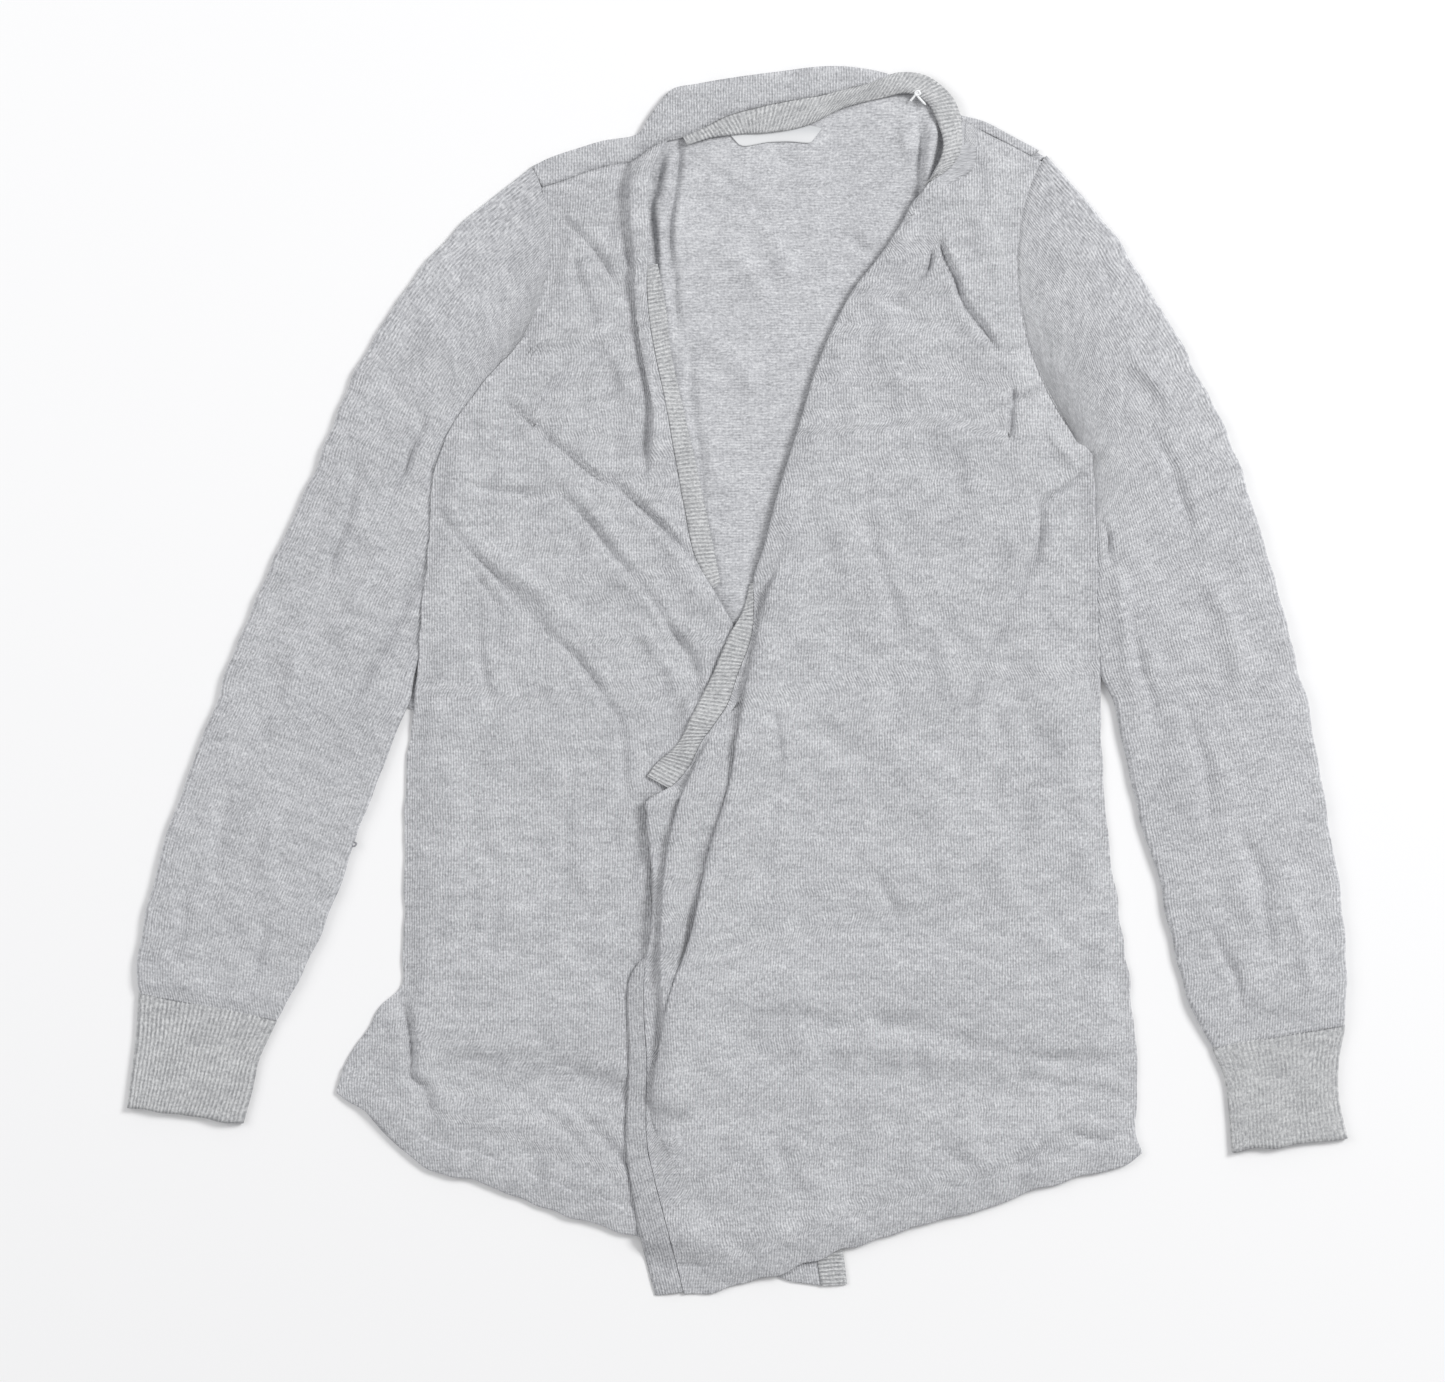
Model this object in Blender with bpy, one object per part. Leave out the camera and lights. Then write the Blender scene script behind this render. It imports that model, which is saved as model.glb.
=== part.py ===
"""Open-front knitted cardigan, laid flat and face up on a level surface.

Each cut piece is one closed cloth wall. Its middle surface is worked out on a grid of rows and
columns from section tables, it is laid on the pieces below it, and it then gets its thickness.
Tables are in millimetres: x to the right seen from above, y towards the collar, z up.
"""
import bpy
import numpy as np

# Driving dimensions, in millimetres
JERSEY = 1.2            # wall of the plain knit
RIB = 1.6               # wall of the ribbed bands and cuffs
TURNED = 2.0            # wall of the turned hem, two layers of plain knit
HEM_DEPTH = 19.0        # depth of the turned hem
SEAM_GAP = 0.3          # clear distance between neighbouring pieces
REST_GAP = 0.7          # clear distance below a piece that lies on others
FOLD_RADIUS = 0.95      # middle radius of a sharp fold in one layer of cloth
EDGE_RADIUS = 1.1       # middle radius of the rolled front edge
ROLL_CLOTH = 8.0        # width of cloth in which an edge may roll
SLEEVE_HEIGHT = 3.4     # from the lower to the upper wall of a flat sleeve
CUFF_HEIGHT = 3.2       # the same, for a cuff
MAP_CELL = 2.0          # cell of the map of heights that pieces are laid on
MAP_HALF = 440.0        # half the side of that map
MAP_SOFT = 4            # cells over which the cloth bridges a step below it
METRE = 0.001

# Outline of the body, seen from above, as x at each y
BODY_LEFT = (
    ("y", "x"), (-276, -270), (-254, -262), (-234, -249), (-217, -238), (-208, -228), (-188, -226),
    (-111, -225), (-66, -224), (-20, -218), (52, -213), (97, -207), (128, -207), (163, -197),
    (184, -185), (203, -169), (217, -156))
BODY_RIGHT = (
    ("y", "x"), (-319, 273), (-304, 269), (-277, 270), (-215, 266), (-172, 260), (-133, 254),
    (-94, 249), (-43, 246), (4, 244), (73, 243), (107, 242), (152, 240))
RIGHT_HEM = (
    ("x", "y"), (-270, -277), (-249, -292), (-238, -305), (-216, -324), (-168, -340), (-128, -356),
    (-66, -375), (-25, -388), (23, -402), (50, -407), (75, -409))
LEFT_HEM = (
    ("x", "y"), (-36, -414), (-9, -410), (15, -403), (45, -392), (80, -381), (102, -373),
    (155, -359), (203, -342), (249, -329), (264, -325), (274, -318))

# Armhole seams: the chord from shoulder to underarm, and how far its middle bows in x
BOW_POWER = 0.85
ARMHOLES = {
    "right": {"top": (-139, 346), "low": (-156, 217), "bow": 20},
    "left": {"top": (208, 354), "low": (240, 152), "bow": -33},
}

# Top of the back: the fold that is its highest line, the seam where it ends on the front,
# and the height of its turned-over part there
BACK_TOP = (
    ("fold_x", "fold_y", "seam_x", "seam_y", "seam_z"),
    (-136, 347, -126, 332, 3.2), (-124, 353, -114, 338, 3.2), (-107, 359, -100, 344, 3.2),
    (-90, 364, -85, 348, 3.4), (-68, 368, -71, 350, 4.2), (-60, 379, -60, 357, 5.0),
    (-52, 390, -49, 363, 5.6), (-43, 399, -38, 366, 6.0), (-28, 402, -24, 372, 6.2),
    (-5, 406, -6, 381, 6.2), (25, 410, 25, 389, 6.2), (60, 414, 58, 395, 6.0),
    (88, 412, 87, 402, 5.4), (112, 405, 111, 400, 4.4), (132, 392, 130, 388, 3.8),
    (148, 382, 147, 378, 3.4), (166, 377, 165, 371, 3.2), (187, 366, 185, 361, 3.2),
    (203, 357.5, 198, 354, 3.2))

# Front edges. The right front ends at its band, or in a roll where the band is turned under,
# and its pleat runs down beside the band. The state of a pleat is 0 flat to 1 folded over.
RIGHT_EDGE = (
    ("y", "x", "rolled"), (-409, 56, 0), (-283, 38, 0), (-148, 18, 0), (-13, 7, 0), (30, 1, 0),
    (46, -8, 4), (60, -16, 4), (82, -28, 0), (117, -36, 0), (149, -42, 0), (189, -47, 0),
    (217, -53, 0), (240, -57, 0), (262, -59, 3), (281, -58, 5), (304, -59, 5), (331, -61, 5),
    (343, -58, 5), (358, -51, 5), (366, -46, 5))
RIGHT_PLEAT = (
    ("y", "x", "state"), (-409, -60, 0), (0, -60, 0), (100, -62, 0), (140, -60, 0.1),
    (166, -60, 0.5), (193, -57, 0.9), (221, -62, 1), (263, -71, 1), (300, -74, 1),
    (325, -75, 1), (345, -75, 0.8), (366, -76, 0.4))
LEFT_EDGE = (
    ("y", "x", "rolled"), (-414, -36, 0), (-373, -46, 0), (-339, -55, 0), (-317, -60, 0),
    (-256, -61, 0), (-219, -63, 0), (-190, -62, 2), (-171, -58, 5), (-131, -57, 5),
    (-92, -60, 5), (-78, -58, 4), (-72, -46, 0), (-61, -35, 0), (-39, -23, 0), (-22, -10, 0),
    (7, 1, 0), (28, 9, 0), (54, 11, 0), (68, 11, 2), (86, 17, 5), (124, 27, 5), (169, 41, 5),
    (217, 56, 5), (244, 68, 5), (264, 79, 5), (287, 97, 5), (308, 111, 5), (328, 124, 5),
    (333, 131, 3), (341, 143, 0), (347, 149, 0), (366, 153, 0), (384, 153, 0))
LEFT_STRIP = (
    ("y", "x", "state"), (-414, -20, 0), (-250, -38, 0), (-182, -50, 0.1), (-165, -51, 0.6),
    (-131, -49, 0.9), (-100, -44, 1), (-79, -38, 1), (-61, -30, 0.7), (-39, -19, 0.2),
    (0, 6, 0), (60, 22, 0), (200, 62, 0), (384, 158, 0))
LEFT_PLEAT = (
    ("y", "x", "state"), (-414, 4, 0), (-340, -32, 0), (-290, -56, 0.2), (-275, -57, 0.6),
    (-252, -53, 0.9), (-214, -46, 1), (-174, -32, 1), (-115, -19, 1), (-68, -5, 1),
    (-38, 0, 1), (7, 8, 1), (28, 13, 0.9), (54, 19, 0.6), (75, 27, 0.2), (110, 40, 0),
    (200, 72, 0), (384, 166, 0))

# Largest folds, as soft ridges from one end to the other, with a bow to the left of that way
RIGHT_FOLDS = (
    ("x0", "y0", "x1", "y1", "bow", "width", "height"),
    (-206, 124, -78, -50, 8, 9, 3.4), (-160, 188, -28, 72, 6, 9, 3.0),
    (-84, 71, -26, -6, 3, 8, 2.2), (-67, 127, -28, 72, 2, 7, 1.8),
    (-180, 133, -110, 137, 4, 7, 2.0), (-226, -208, -214, -285, 3, 8, 2.6),
    (-147, -256, -93, -310, 3, 9, 2.0), (-122, 288, -150, 214, -5, 8, 2.4))
LEFT_FOLDS = (
    ("x0", "y0", "x1", "y1", "bow", "width", "height"),
    (136, 300, 174, 222, 6, 8, 3.6), (174, 222, 236, 168, -8, 10, 2.6),
    (240, 150, 162, 14, 14, 9, 3.6), (193, 201, 180, 165, 4, 8, 2.2),
    (28, -20, 36, -148, 3, 12, 2.0), (70, -190, 96, -216, 3, 9, 1.8),
    (150, -60, 200, -150, 6, 16, 1.6), (120, -300, 230, -250, 6, 12, 1.6))
SLEEVE_FOLDS = (
    ("x0", "y0", "x1", "y1", "bow", "width", "height"),
    (-258, 142, -280, 62, 4, 9, 2.0), (-214, 176, -238, 122, 3, 9, 1.8),
    (-206, 78, -262, -22, 5, 10, 2.2), (-314, -166, -334, -216, 3, 9, 1.6),
    (250, 96, 262, 60, 3, 8, 1.8), (300, 210, 330, 120, 4, 12, 1.8),
    (330, -60, 352, -150, 4, 12, 1.6))

# Sleeves and cuffs, as flat tubes: a section from the outer to the inner edge of each
SLEEVES = {
    "right": (
        ("outer_x", "outer_y", "inner_x", "inner_y", "bow"),
        (-139, 346, -156, 217, 20), (-193, 301, -163, 200, 14), (-236, 245, -171, 172, 7),
        (-265, 190, -180, 135, 2), (-289, 132, -191, 92, 0), (-320, 64, -211, 24, 0),
        (-342, 11, -231, -36, 0), (-371, -68, -259, -109, 0), (-390, -122, -279, -165, 0),
        (-404, -188, -300, -208, 0), (-403, -211, -311, -229, 0)),
    "left": (
        ("outer_x", "outer_y", "inner_x", "inner_y", "bow"),
        (208, 354, 240, 152, -33), (250, 305, 243.6, 140, -24), (284, 252, 245.2, 126, -14),
        (310, 207, 246, 112, -6), (334, 155, 246, 90, -2), (355, 92, 246.5, 56, 0),
        (368, 45, 247.5, 14, 0), (382, -10, 257, -28, 0), (394, -69, 272, -92, 0),
        (401, -115, 284, -133, 0), (408, -159, 294, -176, 0), (410, -198, 304, -214, 0),
        (409, -232.6, 321, -247.6, 0)),
}
CUFFS = {
    "right": (
        ("outer_x", "outer_y", "inner_x", "inner_y", "bow"),
        (-403, -212, -313, -230.4, 0), (-405, -240, -323, -254, 0),
        (-408, -264, -328, -276, -1), (-411, -287, -334, -299, -3)),
    "left": (
        ("outer_x", "outer_y", "inner_x", "inner_y", "bow"),
        (409, -233.6, 321, -248.8, 0), (405, -256, 329, -268, 0),
        (405, -281, 332, -292, -1), (411, -309, 334, -318, -3)),
}

# Ribbed bands: sections from the edge that is sewn on to the free edge
BANDS = {
    "band_neck": (
        ("sewn_x", "sewn_y", "free_x", "free_y"),
        (-37, 364.5, -34, 361), (-23, 370, -18, 366.5), (-5, 379, 2, 368.5),
        (25, 386.5, 20, 369.5), (58, 392.5, 46, 374), (87, 400, 71, 386),
        (108, 410, 98, 393), (127, 408, 114, 396), (142, 397, 126, 391), (149, 385, 132, 383),
        (152, 370, 138, 365), (151, 357, 137, 353), (145, 347.5, 131, 339.5),
        (132, 338, 125, 333)),
    "band_left_middle": (
        ("sewn_x", "sewn_y", "free_x", "free_y"),
        (10.4, 66, 8.6, 66), (10.2, 50, 4, 48), (8, 26, -6, 30), (-0.5, 4, -17, 4),
        (-11, -25, -30, -22), (-24, -41, -40, -42), (-36, -63, -54, -55), (-46, -72, -61, -64)),
    "band_left_low": (
        ("sewn_x", "sewn_y", "free_x", "free_y"),
        (-62.5, -186, -65.5, -188), (-63.5, -208, -74, -207), (-62.5, -256, -73, -256),
        (-61, -310, -75, -310), (-55.6, -341, -70, -349), (-46.6, -375, -64, -381),
        (-36.6, -412, -55.5, -414.4)),
    "band_right": (
        ("sewn_x", "sewn_y", "free_x", "free_y"),
        (-58.4, 258, -54, 262), (-56.4, 242, -49, 248), (-52.4, 219, -45, 222),
        (-46.4, 189, -38, 189), (-41.4, 149, -29, 151), (-35.4, 117, -22, 118),
        (-27.4, 83, -15, 84), (-17, 62, -11.6, 66)),
    "band_right_low": (
        ("sewn_x", "sewn_y", "free_x", "free_y"),
        (2, 28, 16, 34), (7.6, -13, 24, -9), (18.6, -148, 36, -148), (38.6, -283, 56, -283),
        (50, -360, 67, -360), (54, -385, 71, -384), (56.6, -408, 74, -407)),
}
LABEL = (
    ("top_x", "top_y", "low_x", "low_y"),
    (-8, 371.5, 1, 361.5), (4, 373, 6, 360.5), (19, 374.5, 20, 363), (34, 375, 34, 363.5),
    (46, 375, 47, 362.5), (57, 372.5, 50, 363.5))
TAPE = (
    ("a_x", "a_y", "b_x", "b_y"),
    (113, 393.5, 115.5, 396), (118, 390.5, 120.5, 394), (121.5, 388, 125.5, 391.5),
    (125.5, 383, 129, 385.5))

# Grids: columns of one piece from side to side, and its rows. The back's rows are shares of its
# height, closer at the flared hem and at the armholes.
BACK_GRID = {"columns": 20, "rows": (0, 0.05, 0.1, 0.16, 0.24, 0.42, 0.62, 0.76, 0.83, 0.89, 0.95, 1),
             "turn": 4}
FRONT_GRID = {"rows": 22, "panel": 11, "fold": 8, "roll": 7}
TUBE_GRID = {"rows": 11, "wall": 7, "turn": 3}


def column(table, name):
    """One named column of a table, as an array."""
    return np.array([row[table[0].index(name)] for row in table[1:]], float)


def through(keys, values):
    """Smooth curve through the rows: cubic pieces that share the slope at each row."""
    order = np.argsort(keys)
    keys, values = keys[order], values[order]
    slopes = np.gradient(values, keys)

    def at(x):
        x = np.clip(x, keys[0], keys[-1])
        i = np.clip(np.searchsorted(keys, x) - 1, 0, len(keys) - 2)
        span = keys[i + 1] - keys[i]
        t = (x - keys[i]) / span
        low = values[i] * (1 + 2 * t) + slopes[i] * span * t
        high = values[i + 1] * (3 - 2 * t) - slopes[i + 1] * span * (1 - t)
        return low * (1 - t) ** 2 + high * t ** 2
    return at


def curve(table, key, name):
    """The smooth curve of one column of a table against another."""
    return through(column(table, key), column(table, name))


def sections(table, count):
    """The table's columns at evenly spread sections from its first row to its last."""
    rows = np.arange(len(table) - 1, dtype=float)
    where = np.linspace(0, rows[-1], count)
    return {name: through(rows, column(table, name))(where) for name in table[0]}


def ease(t):
    """Smooth step from 0 to 1, level at both ends."""
    t = np.clip(t, 0, 1)
    return t * t * (3 - 2 * t)


class Pile:
    """Map of the highest cloth at each place, which the next piece is laid on."""

    def __init__(self, *below):
        side = int(2 * MAP_HALF / MAP_CELL) + 1
        self.top = np.zeros((side, side))
        for other in below:
            self.top = np.maximum(self.top, other.top)
        self.soften()

    def press(self, points, thickness):
        """Adds a piece: its upper face is refined, and each cell keeps the highest point."""
        half = np.broadcast_to(np.asarray(thickness, float) / 2, points.shape[:2])
        points = np.dstack([points[..., :2], points[..., 2] + half])
        for axis in (0, 1):
            step = np.linalg.norm(np.diff(points, axis=axis), axis=2).max()
            parts = int(np.ceil(step / MAP_CELL))
            where = np.linspace(0, points.shape[axis] - 1, (points.shape[axis] - 1) * parts + 1)
            first = np.minimum(where.astype(int), points.shape[axis] - 2)
            share = (where - first).reshape((-1, 1, 1) if axis == 0 else (1, -1, 1))
            near, far = np.take(points, first, axis), np.take(points, first + 1, axis)
            points = near * (1 - share) + far * share
        cell = np.rint((points[..., :2] + MAP_HALF) / MAP_CELL).astype(int)
        np.maximum.at(self.top, (cell[..., 1], cell[..., 0]), points[..., 2])
        self.soften()

    def soften(self):
        """Spreads each height to its neighbours, then averages, so that it stays above them."""
        reach = range(-MAP_SOFT, MAP_SOFT + 1)
        wide = self.top
        for axis in (0, 1):
            wide = np.max([np.roll(wide, k, axis) for k in reach], axis=0)
        for axis in (0, 1):
            wide = np.mean([np.roll(wide, k, axis) for k in reach], axis=0)
        self.soft = wide

    def height(self, x, y):
        """The softened height at each place, between the four cells around it."""
        u = np.clip((x + MAP_HALF) / MAP_CELL, 0, self.soft.shape[1] - 2)
        v = np.clip((y + MAP_HALF) / MAP_CELL, 0, self.soft.shape[0] - 2)
        i, j = u.astype(int), v.astype(int)
        u, v = u - i, v - j
        near = self.soft[j, i] * (1 - u) + self.soft[j, i + 1] * u
        far = self.soft[j + 1, i] * (1 - u) + self.soft[j + 1, i + 1] * u
        return near * (1 - v) + far * v


def ridges(table, x, y):
    """Sum of soft ridges: a bell across each fold's bowed line, fading out at its ends."""
    total = np.zeros(np.shape(x))
    for x0, y0, x1, y1, bow, width, height in table[1:]:
        length = np.hypot(x1 - x0, y1 - y0)
        along = ((x - x0) * (x1 - x0) + (y - y0) * (y1 - y0)) / length ** 2
        across = ((y - y0) * (x1 - x0) - (x - x0) * (y1 - y0)) / length
        inside = np.clip(along, 0, 1)
        across = across - bow * 4 * inside * (1 - inside)
        past = (along - inside) * length
        bell = np.exp(-(across ** 2 + past ** 2) / width ** 2)
        total += height * bell * (0.35 + 0.65 * np.sin(np.pi * inside))
    return total


def pleat_shape(state, depth, count):
    """Section of a pleat, low side to high side: two equal turns with a straight between them.

    The turns grow to a half round as the state grows, then the straight grows to the depth.
    Returns x from the visible fold and z from the low side, one row for each state.
    """
    turn = np.pi * ease(state / 0.6)[:, None]
    straight = depth * ease((state - 0.6) / 0.4)[:, None]
    arc = np.pi * FOLD_RADIUS
    fine = np.linspace(0, 1, 241)[None, :]
    length = 2 * arc + straight
    walked = fine * length
    angle = turn * np.clip(np.minimum(walked, length - walked) / arc, 0, 1)
    step = length / 240
    x = np.cumsum(np.cos(angle), axis=1) * step
    z = np.cumsum(np.sin(angle), axis=1) * step
    z = z - z[:, :1]
    fold = x[:, 120:].min(axis=1, keepdims=True)
    picked = np.rint(np.linspace(0, 240, count)).astype(int)
    return (x - fold)[:, picked], z[:, picked]


def rolled_edge(amount, count):
    """Section of a rolled edge, from the cloth's end to where the roll's own cloth stops.

    The cloth turns down round the roll's radius, and what is left runs back underneath.
    Returns x from the outermost point, inwards, and z below the top, one row each.
    """
    cloth = np.linspace(0, ROLL_CLOTH, count)[None, :]
    under = np.maximum(amount[:, None] - cloth, 0)
    over = np.maximum(cloth - amount[:, None], 0)
    turn = np.minimum(under / EDGE_RADIUS, np.pi)
    most = np.minimum(amount / EDGE_RADIUS, np.pi / 2)[:, None]
    rest = np.maximum(under - np.pi * EDGE_RADIUS, 0)
    x = EDGE_RADIUS * (np.sin(most) - np.sin(turn)) + rest + over
    return x, -EDGE_RADIUS * (1 - np.cos(turn))


def wall(name, points, thickness, colour, closed=False):
    """Closed solid of a grid of points: two faces along its normals, and its rims.

    A closed grid's columns run round a tube. The thickness is one number or one for each point.
    """
    if closed:
        around = np.roll(points, -1, 1) - np.roll(points, 1, 1)
    else:
        around = np.gradient(points, axis=1)
    normal = np.cross(around, np.gradient(points, axis=0))
    normal /= np.linalg.norm(normal, axis=2, keepdims=True)
    half = np.broadcast_to(np.asarray(thickness, float) / 2, points.shape[:2])[..., None]
    rows, columns = points.shape[:2]
    corners = np.concatenate([(points + normal * half).reshape(-1, 3),
                              (points - normal * half).reshape(-1, 3)])
    index = np.arange(rows * columns).reshape(rows, columns)
    if closed:
        index = np.concatenate([index, index[:, :1]], axis=1)
    below = rows * columns
    quads = np.stack([index[:-1, :-1], index[:-1, 1:], index[1:, 1:], index[1:, :-1]], axis=2)
    faces = [quads.reshape(-1, 4), quads.reshape(-1, 4)[:, ::-1] + below]
    rims = [index[0, ::-1], index[-1, :]]
    if not closed:
        rims += [index[:, 0], index[::-1, -1]]
    for rim in rims:
        faces.append(np.stack([rim[:-1], rim[1:], rim[1:] + below, rim[:-1] + below], 1))
    mesh = bpy.data.meshes.new(name)
    mesh.from_pydata((corners * METRE).tolist(), [], np.concatenate(faces).tolist())
    mesh.update()
    mesh.shade_smooth()
    part = bpy.data.objects.new(name, mesh)
    bpy.context.scene.collection.objects.link(part)
    material = bpy.data.materials.new(name)
    material.use_nodes = True
    shader = material.node_tree.nodes["Principled BSDF"]
    shader.inputs["Base Color"].default_value = (*colour, 1)
    shader.inputs["Roughness"].default_value = 0.95
    mesh.materials.append(material)
    return part


def armhole(side, y):
    """x of an armhole seam at each y: its chord, bowed most in the middle."""
    seam = ARMHOLES[side]
    t = np.clip((seam["top"][1] - y) / (seam["top"][1] - seam["low"][1]), 0, 1)
    chord = seam["top"][0] + (seam["low"][0] - seam["top"][0]) * t
    return chord + seam["bow"] * (4 * t * (1 - t)) ** BOW_POWER


def flat_tube(table, height, folds=None):
    """Rings of a tube laid flat: a level lower wall, two half-round edges and an upper wall."""
    rows = sections(table, TUBE_GRID["rows"] if len(table) > 6 else 4)
    outer = np.stack([rows["outer_x"], rows["outer_y"]], 1)
    inner = np.stack([rows["inner_x"], rows["inner_y"]], 1)
    width = np.linalg.norm(inner - outer, axis=1)[:, None]
    radius = height / 2
    flat = np.linspace(0, 1, TUBE_GRID["wall"])[None, :]
    bend = np.linspace(0, np.pi, TUBE_GRID["turn"] + 2)[None, 1:-1]
    low = radius + (width - 2 * radius) * flat
    near = width - radius + radius * np.sin(bend)
    high = low[:, ::-1]
    far = radius - radius * np.sin(bend) + 0 * width
    across = np.concatenate([low, near, high, far], axis=1)
    rise = np.concatenate([0 * low, radius * (1 - np.cos(bend)) + 0 * width, 0 * high + height,
                           radius * (1 + np.cos(bend)) + 0 * width], axis=1)
    t = across / width
    x = outer[:, :1] + (inner - outer)[:, :1] * t + rows["bow"][:, None] * (4 * t * (1 - t)) ** BOW_POWER
    y = outer[:, 1:] + (inner - outer)[:, 1:] * t
    share = ease((rise / height - 0.5) * 2) * (4 * t * (1 - t)) ** 0.5
    z = rise + share * 0.8
    if folds:
        z = z + share * ridges(folds, x, y)
    points = np.stack([x, y, z], axis=2)
    return points


def wall_at(x, y, hem):
    """Wall of a panel at each place: thicker over the depth of its turned hem."""
    return JERSEY + (TURNED - JERSEY) * (1 - ease((y - hem(x) - HEM_DEPTH) / 3))


def front(pile, hem, top, edges, side, pleats, folds, edge_on_left):
    """Middle surface of one front, from its left to its right side, hem to shoulder.

    Rows run between the hem and the top line. Along each, plain stretches alternate with
    pleats, and the free edge is rolled under. Every layer rises by the height of the pleats
    that it lies on, and the rise dies away beyond what is underneath.
    """
    rows = FRONT_GRID["rows"]
    even = np.linspace(0, 1, rows)[:, None]
    v = even - 0.07 * np.sin(2 * np.pi * even)

    def row_y(x):
        return hem(x) + (top(x) - hem(x)) * v

    def meet(line, start):
        x = np.full((rows, 1), float(start))
        for _ in range(30):
            x = 0.5 * x + 0.5 * line(row_y(x))
        return x

    edge_line = curve(edges, "y", "x")
    edge_x = meet(edge_line, 0)
    edge_y = row_y(edge_x)
    amount = np.maximum(curve(edges, "y", "rolled")(edge_y[:, 0]), 0)
    side_x = meet(side, -200 if not edge_on_left else 240)
    roll_x, roll_z = rolled_edge(amount, FRONT_GRID["roll"])
    lift = -roll_z[:, :1]
    reach = roll_x[:, -1:]
    stops = [edge_x + reach] if edge_on_left else [side_x]
    shapes = []
    for table in pleats:
        fold_x = meet(curve(table, "y", "x"), 0)
        state = np.clip(curve(table, "y", "state")(row_y(fold_x)[:, 0]), 0, 1)
        shape_x, shape_z = pleat_shape(state, 12.0, FRONT_GRID["fold"])
        shapes.append((fold_x + shape_x, shape_z, fold_x))
        stops += [fold_x + shape_x[:, :1], fold_x + shape_x[:, -1:]]
    stops += [side_x] if edge_on_left else [edge_x - reach]
    columns_x, columns_z = [], []
    level = np.zeros((rows, 1))
    widest = max(np.abs(stops[2 * i + 1] - stops[2 * i]).mean() for i in range(len(stops) // 2))
    for i in range(len(stops) // 2):
        start, end = stops[2 * i], stops[2 * i + 1]
        count = 3 if np.abs(end - start).mean() < widest * 0.5 else FRONT_GRID["panel"]
        share = np.linspace(0, 1, count)[None, :]
        share = share[:, (1 if i else 0):(-1 if i < len(shapes) else None)]
        stretch = start + (end - start) * share
        columns_x.append(stretch)
        columns_z.append(level + 0 * stretch)
        if i < len(shapes):
            columns_x.append(shapes[i][0])
            columns_z.append(level + shapes[i][1])
            level = level + shapes[i][1][:, -1:]
    x = np.concatenate(columns_x, axis=1)
    z = np.concatenate(columns_z, axis=1)
    for shape_x, shape_z, fold_x in shapes:
        past = ease((x - fold_x - 22) / 55)
        z = z - shape_z[:, -1:] * past
    if edge_on_left:
        x = np.concatenate([edge_x + roll_x[:, :-1], x], axis=1)
        away = x - edge_x
    else:
        x = np.concatenate([x, (edge_x - roll_x[:, :-1])[:, ::-1]], axis=1)
        away = edge_x - x
    raised = lift * (1 - ease((away - 8) / 26))
    if edge_on_left:
        z = np.concatenate([z[:, :1] + roll_z[:, :-1], z], axis=1) + raised
    else:
        z = np.concatenate([z, z[:, -1:] + roll_z[:, -2::-1]], axis=1) + raised
    y = row_y(x)
    rest = pile.height(x, y) + REST_GAP + wall_at(x, y, hem) / 2
    inset = ease((y - row_y(x)[0]) / 20) * ease((row_y(x)[-1] - y) / 16)
    loft = (0.9 + ridges(folds, x, y)) * inset * ease(np.abs(x - side_x) / 14)
    return np.stack([x, y, rest + loft + z], axis=2)


def strip(table, count, across, pile, thickness, lift=0.0, along=None):
    """A narrow piece laid on the pile: straight across each section from its first edge.

    Where the edge of a panel is given, the first edge follows that panel's own points.
    """
    rows = sections(table, count)
    names = table[0]
    if along is not None:
        outwards = np.sign(rows[names[2]].mean() - rows[names[0]].mean())
        edge = outwards * (along[..., 0] * outwards).max(axis=1)
        level = along[:, 0 if outwards < 0 else -1, 1]
        rows[names[0]] = np.interp(rows[names[1]], level, edge) + outwards * 3 * SEAM_GAP
    t = np.linspace(0, 1, across)[None, :]
    x = rows[names[0]][:, None] * (1 - t) + rows[names[2]][:, None] * t
    y = rows[names[1]][:, None] * (1 - t) + rows[names[3]][:, None] * t
    z = pile.height(x, y) + REST_GAP + thickness / 2 + lift
    return np.stack([x, y, z], axis=2)


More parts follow.
